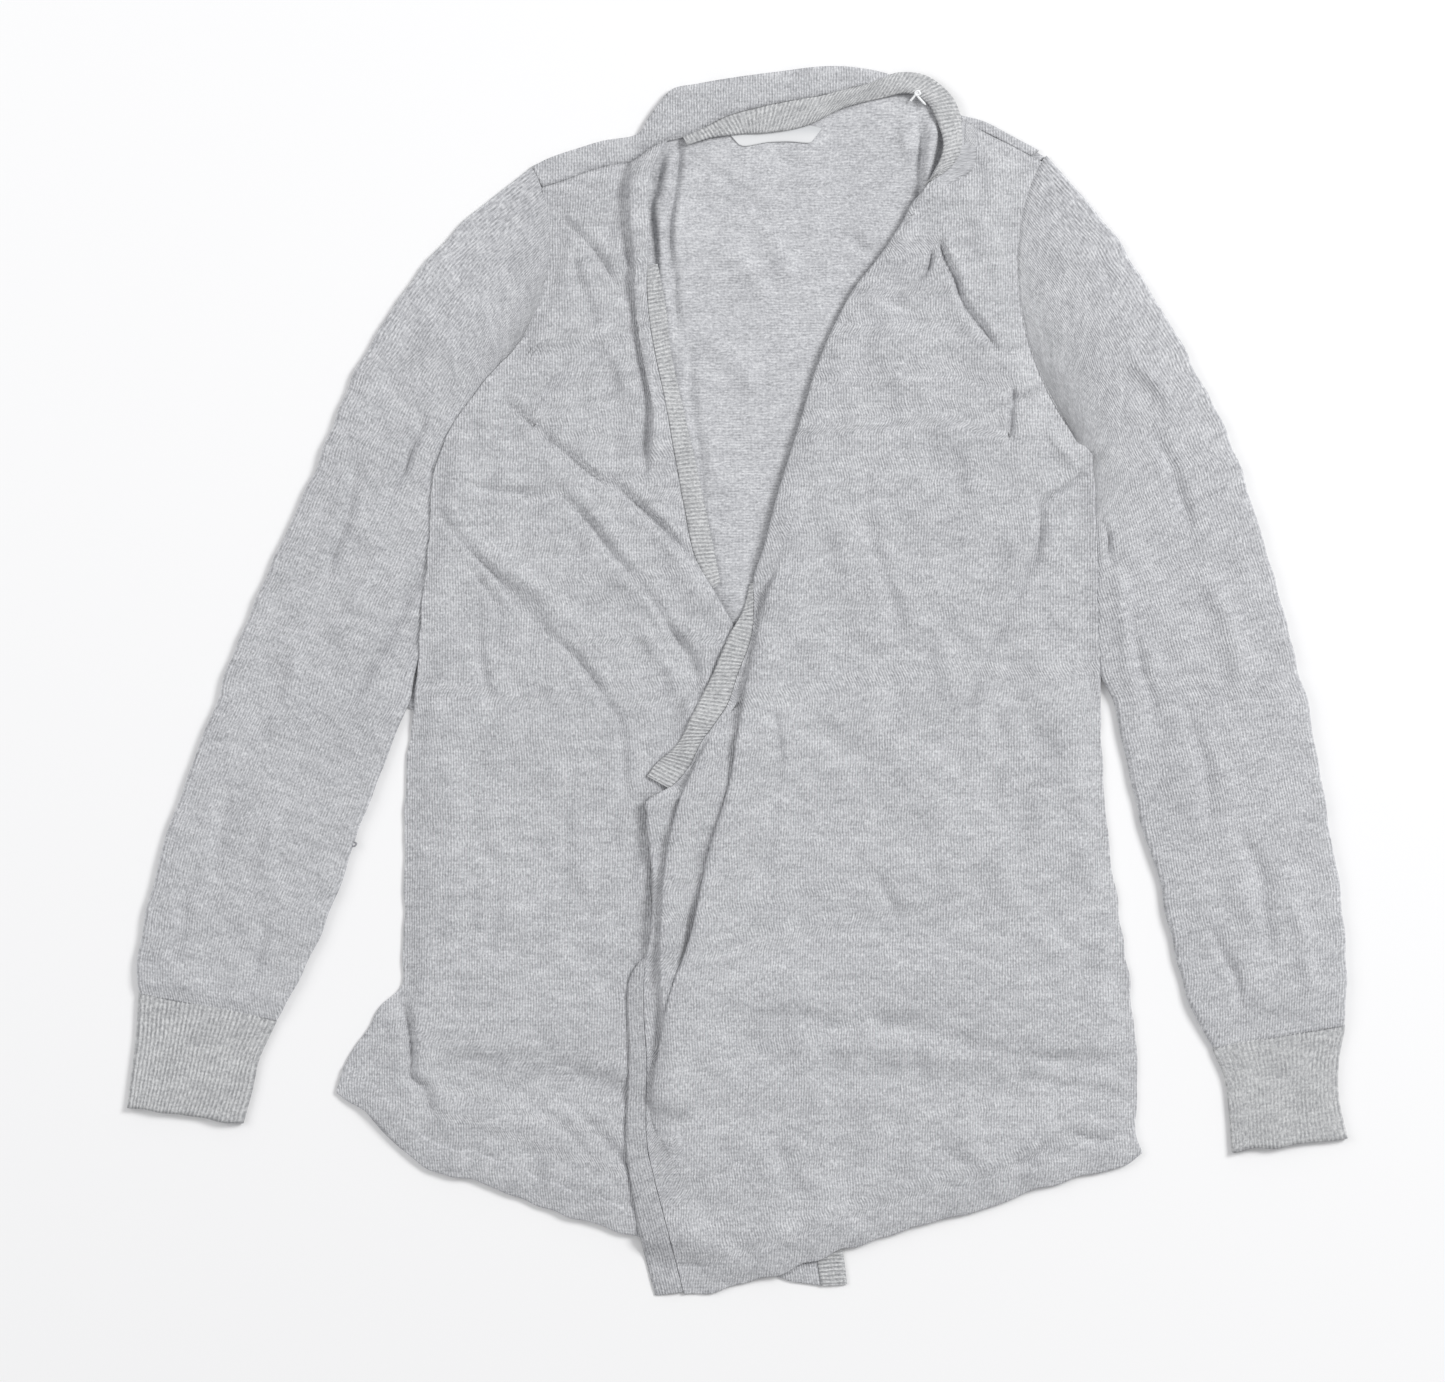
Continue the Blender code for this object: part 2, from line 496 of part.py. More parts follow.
def back_panel():
    """The back: level on the ground, and turned over at the top to the shoulder seams."""
    tops = sections(BACK_TOP, BACK_GRID["columns"])
    fold = np.stack([tops["fold_x"], tops["fold_y"]], 1)
    seam = np.stack([tops["seam_x"], tops["seam_y"]], 1)
    way = seam - fold
    length = np.linalg.norm(way, axis=1, keepdims=True)
    way = way / length
    ground = JERSEY / 2
    share = np.linspace(0, 1, BACK_GRID["columns"])
    v = np.array(BACK_GRID["rows"], float)[:, None]
    low_x = -267 + 538 * share
    low_y = np.where(low_x < -30, curve(RIGHT_HEM, "x", "y")(low_x), curve(LEFT_HEM, "x", "y")(low_x))
    low_y = np.maximum(low_y, -381) + 1.5
    y = low_y + (fold[:, 1] - low_y) * v
    left = np.where(y[:, :1] > 217, armhole("right", y[:, :1]), curve(BODY_LEFT, "y", "x")(y[:, :1]))
    tucked = curve(SLEEVES["right"], "inner_y", "inner_x")(y[:, :1])
    left = np.where((y[:, :1] > -20) & (y[:, :1] <= 217), tucked, left) + 1.9
    left = left + 3 * (y[:, :1] > 200) * (y[:, :1] < 340)
    right = np.where(y[:, -1:] > 152, armhole("left", y[:, -1:]), curve(BODY_RIGHT, "y", "x")(y[:, -1:]))
    right = right - 1.4 - 4 * (y[:, -1:] > 120) * (y[:, -1:] < 350)
    top_share = (fold[:, 0] - fold[0, 0]) / (fold[-1, 0] - fold[0, 0])
    x = left + (right - left) * (share * (1 - v ** 2) + top_share * v ** 2)
    radius = (tops["seam_z"][:, None] - ground) / 2
    level = np.stack([x, y, np.full(x.shape, ground)], axis=2)
    level[-1, :, :2] = fold + way * radius
    bend = np.linspace(0, np.pi, BACK_GRID["turn"] + 2)[1:-1]
    turned = [np.column_stack([fold + way * radius * (1 - np.sin(b)),
                               ground + radius * (1 - np.cos(b))]) for b in bend]
    end = np.maximum(length, radius + 1.2)
    last = [np.column_stack([fold + way * (radius + (end - radius) * s), tops["seam_z"]])
            for s in (0.0, 0.5, 1.0)]
    return np.concatenate([level, np.stack(turned + last)])


def build():
    """Makes the pieces from the ground up, each laid on the ones before it."""
    for old in list(bpy.data.objects):
        bpy.data.objects.remove(old)
    grey = (0.50, 0.52, 0.54)
    rib_grey = (0.47, 0.49, 0.50)
    white = (0.86, 0.86, 0.85)

    back = back_panel()
    wall("back", back, JERSEY, grey)
    ground = Pile()
    ground.press(back, JERSEY)

    tubes = {}
    for side in ("right", "left"):
        sleeve = flat_tube(SLEEVES[side], SLEEVE_HEIGHT, SLEEVE_FOLDS)
        sleeve[..., 2] += JERSEY / 2
        wall("sleeve_" + side, sleeve, JERSEY, grey, closed=True)
        cuff = flat_tube(CUFFS[side], CUFF_HEIGHT)
        cuff[..., 2] += RIB / 2
        wall("cuff_" + side, cuff, RIB, rib_grey, closed=True)
        tubes[side] = sleeve

    under_label = Pile(ground)
    label = strip(LABEL, 8, 3, under_label, 1.0)
    wall("label", label, 1.0, white)

    right_pile = Pile(ground)
    right_pile.press(tubes["right"], JERSEY)
    right_hem = curve(RIGHT_HEM, "x", "y")
    right_top = through(np.array([-142.0, -125, -114, -100, -85, -71, -60, -49, -38]),
                        np.array([322.0, 331, 337, 343, 347, 349, 355, 362, 366]))

    def right_side(y):
        return np.where(y > 217, armhole("right", y) + 1.3, curve(BODY_LEFT, "y", "x")(y))

    right = front(right_pile, right_hem, right_top, RIGHT_EDGE, right_side, [RIGHT_PLEAT],
                  RIGHT_FOLDS, edge_on_left=False)
    right_wall = wall_at(right[..., 0], right[..., 1], right_hem)
    wall("front_right", right, right_wall, grey)

    middle = Pile(right_pile)
    for name in ("band_right", "band_right_low"):
        band = strip(BANDS[name], 11, 2, right_pile, RIB, along=right)
        wall(name, band, RIB, rib_grey)
        middle.press(band, RIB)
    middle.press(right, right_wall)

    left_hem = curve(LEFT_HEM, "x", "y")
    left_top = through(np.array([-60.0, 100, 152, 172, 182, 195, 207]),
                       np.array([384.0, 384, 382, 369, 362, 353, 348]))

    def left_side(y):
        return np.where(y > 152, armhole("left", y) - 0.9, curve(BODY_RIGHT, "y", "x")(y))

    left = front(middle, left_hem, left_top, LEFT_EDGE, left_side, [LEFT_STRIP, LEFT_PLEAT],
                 LEFT_FOLDS, edge_on_left=True)
    wall("front_left", left, wall_at(left[..., 0], left[..., 1], left_hem), grey)
    for name in ("band_left_middle", "band_left_low"):
        wall(name, strip(BANDS[name], 12, 2, middle, RIB, along=left), RIB, rib_grey)

    collar = Pile(ground)
    collar.press(label, 1.0)
    collar.press(back[len(BACK_GRID["rows"]):], JERSEY)
    collar.press(left, JERSEY)
    wall("band_neck", strip(BANDS["band_neck"], 20, 3, collar, RIB, lift=0.2), RIB, rib_grey)
    wall("shoulder_tape", strip(TAPE, 5, 2, collar, 1.0, lift=2.1), 1.0, white)


build()
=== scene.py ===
"""Open-front knitted cardigan, laid flat and face up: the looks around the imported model.

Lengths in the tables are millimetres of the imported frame: x to the right seen from above, y from
the hem to the collar, z up from the surface it lies on. METRE turns them into Blender's metres.
"""

import bpy
import numpy as np
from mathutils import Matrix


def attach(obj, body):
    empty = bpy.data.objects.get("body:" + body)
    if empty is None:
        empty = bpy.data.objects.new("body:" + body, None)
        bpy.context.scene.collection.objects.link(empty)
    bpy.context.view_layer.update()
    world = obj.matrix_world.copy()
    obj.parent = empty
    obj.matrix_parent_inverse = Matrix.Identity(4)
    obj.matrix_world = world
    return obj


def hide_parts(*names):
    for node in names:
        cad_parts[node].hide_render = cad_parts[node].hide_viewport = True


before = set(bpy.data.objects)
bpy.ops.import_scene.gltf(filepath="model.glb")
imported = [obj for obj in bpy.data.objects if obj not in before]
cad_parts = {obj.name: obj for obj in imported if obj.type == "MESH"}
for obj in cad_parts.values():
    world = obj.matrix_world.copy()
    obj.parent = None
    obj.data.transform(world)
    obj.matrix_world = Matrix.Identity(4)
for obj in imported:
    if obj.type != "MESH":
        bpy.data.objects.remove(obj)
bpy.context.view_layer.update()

# The camera and the studio
# A copy stand: the camera hangs level three metres above the table, on the middle of the picture.
# The table is matt white board, lit brightly and softly enough to lose its shadows.
METRE = 0.001
PHOTO_WIDE = 1445
PHOTO_HIGH = 1382
PHOTO_MM = 0.675                      # table that one pixel of the photograph covers
BODY_PIXEL = (737.5, 681.0)           # pixel that lies over the origin
CAMERA_HEIGHT = 3.0
camera_data = bpy.data.cameras.new("copy_stand_camera")
camera_data.sensor_width = 36.0
camera_data.lens = camera_data.sensor_width * CAMERA_HEIGHT / (PHOTO_WIDE * PHOTO_MM * METRE)


def put(name, data):
    """Puts an object with this data into the scene, at the origin."""
    made = bpy.data.objects.new(name, data)
    bpy.context.scene.collection.objects.link(made)
    return made


camera = put("copy_stand_camera", camera_data)
camera.location = ((PHOTO_WIDE / 2 - BODY_PIXEL[0]) * PHOTO_MM * METRE,
                   (BODY_PIXEL[1] - PHOTO_HIGH / 2) * PHOTO_MM * METRE, CAMERA_HEIGHT)
bpy.context.scene.camera = camera
bpy.context.scene.view_settings.view_transform = "Standard"


def linear(hex_colour):
    """An sRGB hex colour as linear light: each part through the sRGB curve."""
    parts = [int(hex_colour[i:i + 2], 16) / 255 for i in (1, 3, 5)]
    return tuple(p / 12.92 if p <= 0.04045 else ((p + 0.055) / 1.055) ** 2.4 for p in parts) + (1.0,)


def softbox(name, place, size, watts):
    """A square softbox at a place in metres, turned to face the middle of the table."""
    data = bpy.data.lights.new(name, "AREA")
    data.size = size
    data.energy = watts
    lamp = put(name, data)
    lamp.location = place
    lamp.rotation_euler = (-lamp.location).to_track_quat("-Z", "Y").to_euler()


softbox("softbox_right", (2.9, 1.7, 3.0), 1.5, 140)
softbox("softbox_left", (-2.6, 0.6, 2.0), 1.8, 30)
studio = bpy.data.worlds.new("white_studio")
studio.use_nodes = True
studio.node_tree.nodes["Background"].inputs["Color"].default_value = linear("#fdfdff")
studio.node_tree.nodes["Background"].inputs["Strength"].default_value = 0.5
bpy.context.scene.world = studio


def plug(tree, made, **inputs):
    """Sets or links a node's inputs by name, or by number, as i0 and i1, where they share one."""
    for name, value in inputs.items():
        socket = made.inputs[int(name[1:]) if name[1:].isdigit() else name.replace("_", " ")]
        if isinstance(value, bpy.types.NodeSocket):
            tree.links.new(value, socket)
        else:
            socket.default_value = value


def node(tree, kind, settings=None, **inputs):
    """Adds a shader node, sets its properties, and sets or links its inputs."""
    made = tree.nodes.new("ShaderNode" + kind)
    for name, value in (settings or {}).items():
        setattr(made, name, value)
    plug(tree, made, **inputs)
    return made


def new_material(name):
    """A material with nodes of its own. Returns it, its node tree and its shader."""
    material = bpy.data.materials.new(name)
    material.use_nodes = True
    return material, material.node_tree, material.node_tree.nodes["Principled BSDF"]


def matt_board():
    """Painted board: matt, nearly white, with no pattern of its own."""
    material, tree, shader = new_material("matt_white_board")
    plug(tree, shader, Base_Color=linear("#f2f2f2"), Roughness=0.9, Specular_IOR_Level=0.1)
    return material


TABLE_HALF = 4.0
table_mesh = bpy.data.meshes.new("table")
table_mesh.from_pydata([(-TABLE_HALF, -TABLE_HALF, 0), (TABLE_HALF, -TABLE_HALF, 0),
                        (TABLE_HALF, TABLE_HALF, 0), (-TABLE_HALF, TABLE_HALF, 0)], [], [(0, 1, 2, 3)])
table_mesh.materials.append(matt_board())
put("table", table_mesh)

# The back
# One piece of fine plain knit in cotton and viscose marl, purl side up where the neck shows it.
# It lies on the table; its neck end turns over, outside up, to the shoulder seams.
JERSEY = 1.2            # thickness of the plain knit
GROUND = JERSEY / 2     # height of the lowest cloth's middle
SEAM_Z = 3.2            # height at which the pieces meet in the shoulder and armhole seams
SEAM_TAPER = 0.45       # share of the thickness left at an edge that is linked to another
BACK_FINE = {"columns": 150, "turn": 9, "end": 5, "row_mm": 4.2}
PIT = {"right": 217, "left": 152}              # y of the armpits
CLEAR = {"right": -20, "left": 6}              # y below which the sleeves lie clear of the body
INWARDS = {"right": 1, "left": -1}             # the way from each side to the middle
SIDES = {
    "right": (
        ("y", "x"), (-276, -270), (-254, -262), (-234, -249), (-217, -238), (-208, -228), (-188, -226),
        (-111, -225), (-66, -224), (-20, -218), (52, -213), (97, -207), (128, -207), (163, -197),
        (184, -185), (203, -169), (217, -156)),
    "left": (
        ("y", "x"), (-319, 273), (-304, 269), (-277, 270), (-215, 266), (-172, 260), (-133, 254),
        (-94, 249), (-43, 246), (4, 244), (73, 243), (107, 242), (152, 240)),
}
HEM_ENDS = (-267, 271)                         # x of the hem's ends
HEMS_MEET = -30                                # x where the right hem's line hands over to the left's
BACK_LOWEST = -381                             # y that the back's hidden hem stays above
BACK_LONG = 790                                # length of the back, for the spacing of its rows
RIGHT_HEM = (
    ("x", "y"), (-270, -277), (-249, -292), (-238, -305), (-216, -324), (-168, -340), (-128, -356),
    (-66, -375), (-25, -388), (23, -402), (50, -407), (75, -409))
LEFT_HEM = (
    ("x", "y"), (-36, -414), (-9, -410), (15, -403), (45, -392), (80, -381), (102, -373),
    (155, -359), (203, -342), (249, -329), (264, -325), (274, -318))
ARMHOLE_BOW = 0.85      # power of the curve that an armhole bows in
ARMHOLES = {
    "right": {"top": (-139, 346), "low": (-156, PIT["right"]), "bow": 20},
    "left": {"top": (208, 354), "low": (240, PIT["left"]), "bow": -33},
}
BACK_TOP = (
    ("fold_x", "fold_y", "seam_x", "seam_y", "seam_z"),
    (-138.5, 346.5, -131.5, 333, 3.2), (-125, 353, -116, 338, 3.2), (-107, 359, -100, 344, 3.2),
    (-90, 364, -85, 348, 3.4), (-68, 368, -71, 350, 4.2), (-60, 379, -60, 357, 5.0),
    (-52, 390, -49, 363, 5.6), (-43, 399, -38, 366, 6.0), (-28, 402, -24, 372, 6.2),
    (-5, 406, -6, 381, 6.2), (25, 410, 25, 389, 6.2), (60, 414, 58, 395, 6.0),
    (88, 412, 87, 402, 5.4), (112, 405, 111, 400, 4.4), (132, 392, 130, 388, 3.8),
    (148, 382, 147, 378, 3.4), (166, 377, 165, 371, 3.2), (187, 366, 185, 361, 3.2),
    (203, 357.5, 198, 354, 3.2))
CREASE = ("x0", "y0", "x1", "y1", "bow", "width", "height")
CREASE_WIDTH = 0.62      # sharper than the tables say, as fine knit is
CREASE_GAIN = 2.6
BACK_CREASES = (
    CREASE,
    (-39, 361, -46, 277, -2, 5, -2.6), (-45, 283, -41, 237, 1, 5, -1.8),
    (-39, 265, 15, 269, -1, 4, -1.4), (12, 268, 64, 267, 1, 4, -1), (-25, 352, 30, 298, 3, 5, -1.2),
    (-32, 325, 22, 317, -1, 5, -0.8), (5, 325, 42, 257, 4, 8, 0.8), (69, 301, 96, 283, 2, 6, -1),
    (-25, 237, 15, 190, 3, 9, 0.7), (-32, 223, -21, 122, -2, 6, -1.2), (22, 352, 76, 338, 2, 6, -0.7),
    (-12, 291, 22, 257, 3, 7, 0.8), (121, 388, 123, 322, 1, 4, -2.2), (131, 380, 127, 326, 1, 6, 1.8),
    (112, 384, 113, 350, 1, 4, 1), (-50, 354, -60, 322, 0, 6, -2.2),
    (-59, 332, -56, 262, 0, 5, -2))


def column(table, name):
    """One named column of a table, as an array."""
    return np.array([row[table[0].index(name)] for row in table[1:]], float)


def through(keys, values):
    """Smooth curve through the rows: cubic pieces that share the slope at each row."""
    order = np.argsort(keys)
    keys, values = keys[order], values[order]
    slopes = np.gradient(values, keys)

    def at(x):
        x = np.clip(x, keys[0], keys[-1])
        i = np.clip(np.searchsorted(keys, x) - 1, 0, len(keys) - 2)
        span = keys[i + 1] - keys[i]
        t = (x - keys[i]) / span
        low = values[i] * (1 + 2 * t) + slopes[i] * span * t
        high = values[i + 1] * (3 - 2 * t) - slopes[i + 1] * span * (1 - t)
        return low * (1 - t) ** 2 + high * t ** 2
    return at


def curve(table, key, name):
    """The smooth curve of one column of a table against another."""
    return through(column(table, key), column(table, name))


def sections(table, count):
    """The table's columns at evenly spread sections from its first row to its last."""
    rows = np.arange(len(table) - 1, dtype=float)
    where = np.linspace(0, rows[-1], count)
    return {name: through(rows, column(table, name))(where) for name in table[0]}


def ease(t):
    """Smooth step from 0 to 1, level at both ends: 3 t squared less 2 t cubed."""
    t = np.clip(t, 0, 1)
    return t * t * (3 - 2 * t)


def fading(distance, reach):
    """1 up to a line, easing down to 0 at a reach past it."""
    return 1 - ease(distance / reach)


def bell(distance, width):
    """Bell curve across a line: e to the minus square of the distance in widths."""
    return np.exp(-(distance / width) ** 2)


def between(first, second, share):
    """The place or height at a share of the way from the first to the second."""
    return first * (1 - share) + second * share


def walked(path):
    """Length walked along a path to each of its points."""
    return np.concatenate([[0], np.cumsum(np.linalg.norm(np.diff(path, axis=0), axis=1))])


def ripple(x, y, wave, seed):
    """Even unevenness of about one unit: twelve plane waves of about one wavelength, turned and
    shifted at random by the seed, added up."""
    draw = np.random.default_rng(seed)
    total = np.zeros(np.broadcast(x, y).shape)
    for turn, length, shift in zip(draw.uniform(0, np.pi, 12), draw.uniform(0.6, 1.7, 12),
                                   draw.uniform(0, 2 * np.pi, 12)):
        total += np.sin((x * np.cos(turn) + y * np.sin(turn)) * 2 * np.pi / (wave * length) + shift)
    return total / 2.45


def streaked(x, y, lean, seed):
    """Long faint wrinkles that run with the wales: a ripple drawn out along them and leant over,
    stronger in some patches than in others."""
    patches = 0.6 + 0.5 * ripple(x, y, 110, seed + 1)
    return patches * ripple(x + lean * y, 0.28 * y, 17, seed)


def creased(table, x, y):
    """Height that a table of creases adds. Each is a bell across a bowed line, of uneven height
    along it; a trough has a sharp bottom and throws up a low ridge on each side, as pushed
    cloth does."""
    total = np.zeros(np.shape(x))
    for number, (x0, y0, x1, y1, bow, width, height) in enumerate(table[1:]):
        length = np.hypot(x1 - x0, y1 - y0)
        along = ((x - x0) * (x1 - x0) + (y - y0) * (y1 - y0)) / length ** 2
        across = ((y - y0) * (x1 - x0) - (x - x0) * (y1 - y0)) / length
        inside = np.clip(along, 0, 1)
        across = across - bow * 4 * inside * (1 - inside) - 0.9 * np.sin(7 * inside + number)
        past = (along - inside) * length
        near = (across ** 2 + (past * 0.7) ** 2) / (CREASE_WIDTH * width) ** 2
        shape = np.exp(-near) - (0.42 * np.exp(-near / 4.5) - 0.14 * np.exp(-near * 5)) * (height < 0)
        uneven = 0.12 + 0.88 * np.sin(np.pi * inside) ** 0.6 + 0.14 * np.sin(11 * inside + 2.3 * number)
        total += height * shape * uneven
    return CREASE_GAIN * total


class Pile:
    """Map of the highest cloth at each place, which the next piece is laid on."""

    CELL = 1.5
    HALF = 435.0
    SPREAD = 2
    BLUR = 3

    def __init__(self, *below):
        side = int(2 * self.HALF / self.CELL) + 1
        self.top = np.zeros((side, side))
        for other in below:
            self.top = np.maximum(self.top, other.top)
        self.soften()

    def press(self, points, thickness):
        """Adds a piece: its upper face is refined, and each cell keeps the highest point."""
        half = np.broadcast_to(np.asarray(thickness, float) / 2, points.shape[:2])
        points = np.dstack([points[..., :2], points[..., 2] + half])
        for axis in (0, 1):
            step = np.percentile(np.linalg.norm(np.diff(points, axis=axis), axis=2), 99)
            parts = int(np.ceil(step / self.CELL))
            where = np.linspace(0, points.shape[axis] - 1, (points.shape[axis] - 1) * parts + 1)
            first = np.minimum(where.astype(int), points.shape[axis] - 2)
            share = (where - first).reshape((-1, 1, 1) if axis == 0 else (1, -1, 1))
            points = between(np.take(points, first, axis), np.take(points, first + 1, axis), share)
        cell = np.rint((points[..., :2] + self.HALF) / self.CELL).astype(int)
        np.maximum.at(self.top, (cell[..., 1], cell[..., 0]), points[..., 2])
        self.soften()

    def soften(self):
        """Spreads each height to its neighbours, then averages, as cloth bridges a step."""
        wide = self.top
        for axis in (0, 1):
            wide = np.max([np.roll(wide, k, axis) for k in range(-self.SPREAD, self.SPREAD + 1)], axis=0)
        for axis in (0, 1, 0, 1):
            wide = np.mean([np.roll(wide, k, axis) for k in range(-self.BLUR, self.BLUR + 1)], axis=0)
        self.soft = wide

    def height(self, x, y):
        """The softened height at each place, between the four cells around it."""
        u = np.clip((x + self.HALF) / self.CELL, 0, self.soft.shape[1] - 2)
        v = np.clip((y + self.HALF) / self.CELL, 0, self.soft.shape[0] - 2)
        i, j = u.astype(int), v.astype(int)
        u, v = u - i, v - j
        near = between(self.soft[j, i], self.soft[j, i + 1], u)
        return between(near, between(self.soft[j + 1, i], self.soft[j + 1, i + 1], u), v)


def armhole(side, y):
    """x of an armhole seam at each y: its chord, bowed most in the middle."""
    seam = ARMHOLES[side]
    t = np.clip((seam["top"][1] - y) / (seam["top"][1] - seam["low"][1]), 0, 1)
    chord = seam["top"][0] + (seam["low"][0] - seam["top"][0]) * t
    return chord + seam["bow"] * (4 * t * (1 - t)) ** ARMHOLE_BOW


def knit(name, dark, middle, light, wale_mm, course_mm, relief, wale_painted_shade, purl=False):
    """Knitted yarn in marl: fibres of two greys spun together, so that the yarn changes shade every
    few stitches, in flecks along the wales and in faint clouds. Plain knit shows columns of V
    stitches, wales; its back shows rows of purl bumps. The yarn is matt and slightly hairy.
    The real wales are 1.35 mm apart; they are drawn wider, or the picture would lose them."""
    material, tree, shader = new_material(name)
    cloth = node(tree, "UVMap", {"uv_map": "cloth"}).outputs["UV"]
    split = node(tree, "SeparateXYZ", Vector=cloth)
    across, along = split.outputs["X"], split.outputs["Y"]
    if purl:
        across, along = along, across

    def total(start, *parts):
        """Start plus each output times its weight, less its mean."""
        for output, weight, mean in parts:
            start = node(tree, "Math", {"operation": "MULTIPLY_ADD"}, i0=output, i1=weight,
                         i2=start).outputs[0]
            start = node(tree, "Math", {"operation": "ADD"}, i0=start, i1=-weight * mean).outputs[0]
        return start

    def mottle(across_mm, along_mm, detail, roughness):
        """Noise whose patches are so wide across the wales and so long along them."""
        size = node(tree, "Mapping", Vector=cloth, Scale=(1 / (across_mm * METRE), 1 / (along_mm * METRE), 1))
        return node(tree, "TexNoise", Vector=size.outputs[0], Scale=1.0, Detail=detail,
                    Roughness=roughness).outputs["Fac"]

    def wave(place, pitch_mm):
        """Sine of the walk, one turn for each pitch."""
        turns = node(tree, "Math", {"operation": "MULTIPLY"}, i0=place, i1=2 * np.pi / (pitch_mm * METRE))
        return node(tree, "Math", {"operation": "SINE"}, i0=turns.outputs[0]).outputs[0]

    drift = mottle(16, 16, 1.0, 0.5)
    wale = wave(total(across, (drift, 0.0016, 0.5)), wale_mm)
    lean = node(tree, "Math", {"operation": "ABSOLUTE"}, i0=wale).outputs[0]
    stitch = wave(total(along, (lean, 0.35 * course_mm * METRE, 0)), course_mm)
    fleck = mottle(4.0, 1.3, 3.0, 0.65) if purl else mottle(1.2, 3.6, 3.0, 0.65)
    grain = mottle(1.5, 1.5, 2.0, 0.7)
    cloud = mottle(17.0, 6.5, 4.0, 0.6)
    patch = mottle(60.0, 45.0, 2.0, 0.5)
    # The wales and stitch rows darken the colour where the bump sinks them: painted shade in the knit's
    # grooves. The flecks, grain, clouds and patches are the marl's own tone.
    shade = total(0.5, (fleck, 1.1, 0.5), (grain, 0.9, 0.5), (cloud, 0.5, 0.5), (patch, 0.15, 0.5),
                  (wale, wale_painted_shade, 0), (stitch, 0.03, 0))
    ramp = node(tree, "ValToRGB", Fac=shade)
    ramp.color_ramp.elements[0].color = linear(dark)
    ramp.color_ramp.elements[0].position = 0.2
    ramp.color_ramp.elements[1].color = linear(light)
    ramp.color_ramp.elements[1].position = 0.8
    ramp.color_ramp.elements.new(0.5).color = linear(middle)
    height = total(0.0, (wale, 1, 0), (stitch, 0.3, 0), (fleck, 1.5, 0.5))
    bump = node(tree, "Bump", Height=height, Strength=1.0, Distance=relief * METRE).outputs[0]
    plug(tree, shader, Base_Color=ramp.outputs["Color"], Normal=bump, Roughness=0.92,
         Specular_IOR_Level=0.2, Sheen_Weight=0.03, Sheen_Roughness=0.5)
    return material


def grid_faces(rows, columns, closed):
    """A grid's corner numbers, with the first column again where it closes, and its quads."""
    index = np.arange(rows * columns).reshape(rows, columns)
    if closed:
        index = np.concatenate([index, index[:, :1]], axis=1)
    return index, np.stack([index[:-1, :-1], index[:-1, 1:], index[1:, 1:], index[1:, :-1]], 2).reshape(-1, 4)


def cloth(name, points, thickness, materials, flow, closed=False):
    """A piece of cloth as a closed wall on a grid of middle points. Two faces lie half the
    thickness along the grid's normals, and rims join them. The flow gives each point its place in
    the flat cloth, in millimetres across and along the wales, for the knit's pattern. A closed
    grid's columns run round a tube. The first material is the upper face's."""
    around = np.roll(points, -1, 1) - np.roll(points, 1, 1) if closed else np.gradient(points, axis=1)
    normal = np.cross(around, np.gradient(points, axis=0))
    normal /= np.maximum(np.linalg.norm(normal, axis=2, keepdims=True), 1e-9)
    half = np.broadcast_to(np.asarray(thickness, float) / 2, points.shape[:2])[..., None]
    rows, columns = points.shape[:2]
    corners = np.concatenate([(points + normal * half).reshape(-1, 3),
                              (points - normal * half).reshape(-1, 3)])
    index, quads = grid_faces(rows, columns, closed)
    below = rows * columns
    faces = [quads, quads[:, ::-1] + below]
    rims = [index[0, ::-1], index[-1, :]] + ([] if closed else [index[:, 0], index[::-1, -1]])
    faces += [np.stack([rim[:-1], rim[1:], rim[1:] + below, rim[:-1] + below], 1) for rim in rims]
    faces = np.concatenate(faces)
    mesh = bpy.data.meshes.new(name)
    mesh.vertices.add(len(corners))
    mesh.vertices.foreach_set("co", (corners * METRE).ravel())
    mesh.loops.add(faces.size)
    mesh.loops.foreach_set("vertex_index", faces.ravel())
    mesh.polygons.add(len(faces))
    mesh.polygons.foreach_set("loop_start", np.arange(0, faces.size, 4))
    mesh.polygons.foreach_set("material_index", np.r_[
        np.zeros(len(quads), int), np.full(len(quads), len(materials) - 1),
        np.zeros(len(faces) - 2 * len(quads), int)])
    mesh.update(calc_edges=True)
    mesh.validate()
    mesh.shade_smooth()
    place = np.concatenate([flow.reshape(-1, 2)] * 2) * METRE
    mesh.uv_layers.new(name="cloth").data.foreach_set("uv", place[faces.ravel()].ravel())
    for material in materials:
        mesh.materials.append(material)
    return put(name, mesh)


def lay(piece, cad_node):
    """Lays a piece: it rides on the one body, and the CAD solid that it stands for is hidden."""
    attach(piece, "root")
    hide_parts(cad_node)


def back_side(side, y):
    """x of the back's side at each y, a little inside the armhole, below it the sleeve's inner
    fold where that covers the side, and below that the side seam."""
    line = np.where(y > PIT[side], armhole(side, y), curve(SIDES[side], "y", "x")(y))
    tucked = curve(SLEEVES[side], "inner_y", "inner_x")(y)
    return np.where((y > CLEAR[side]) & (y <= PIT[side]), tucked, line) + 0.9 * INWARDS[side]


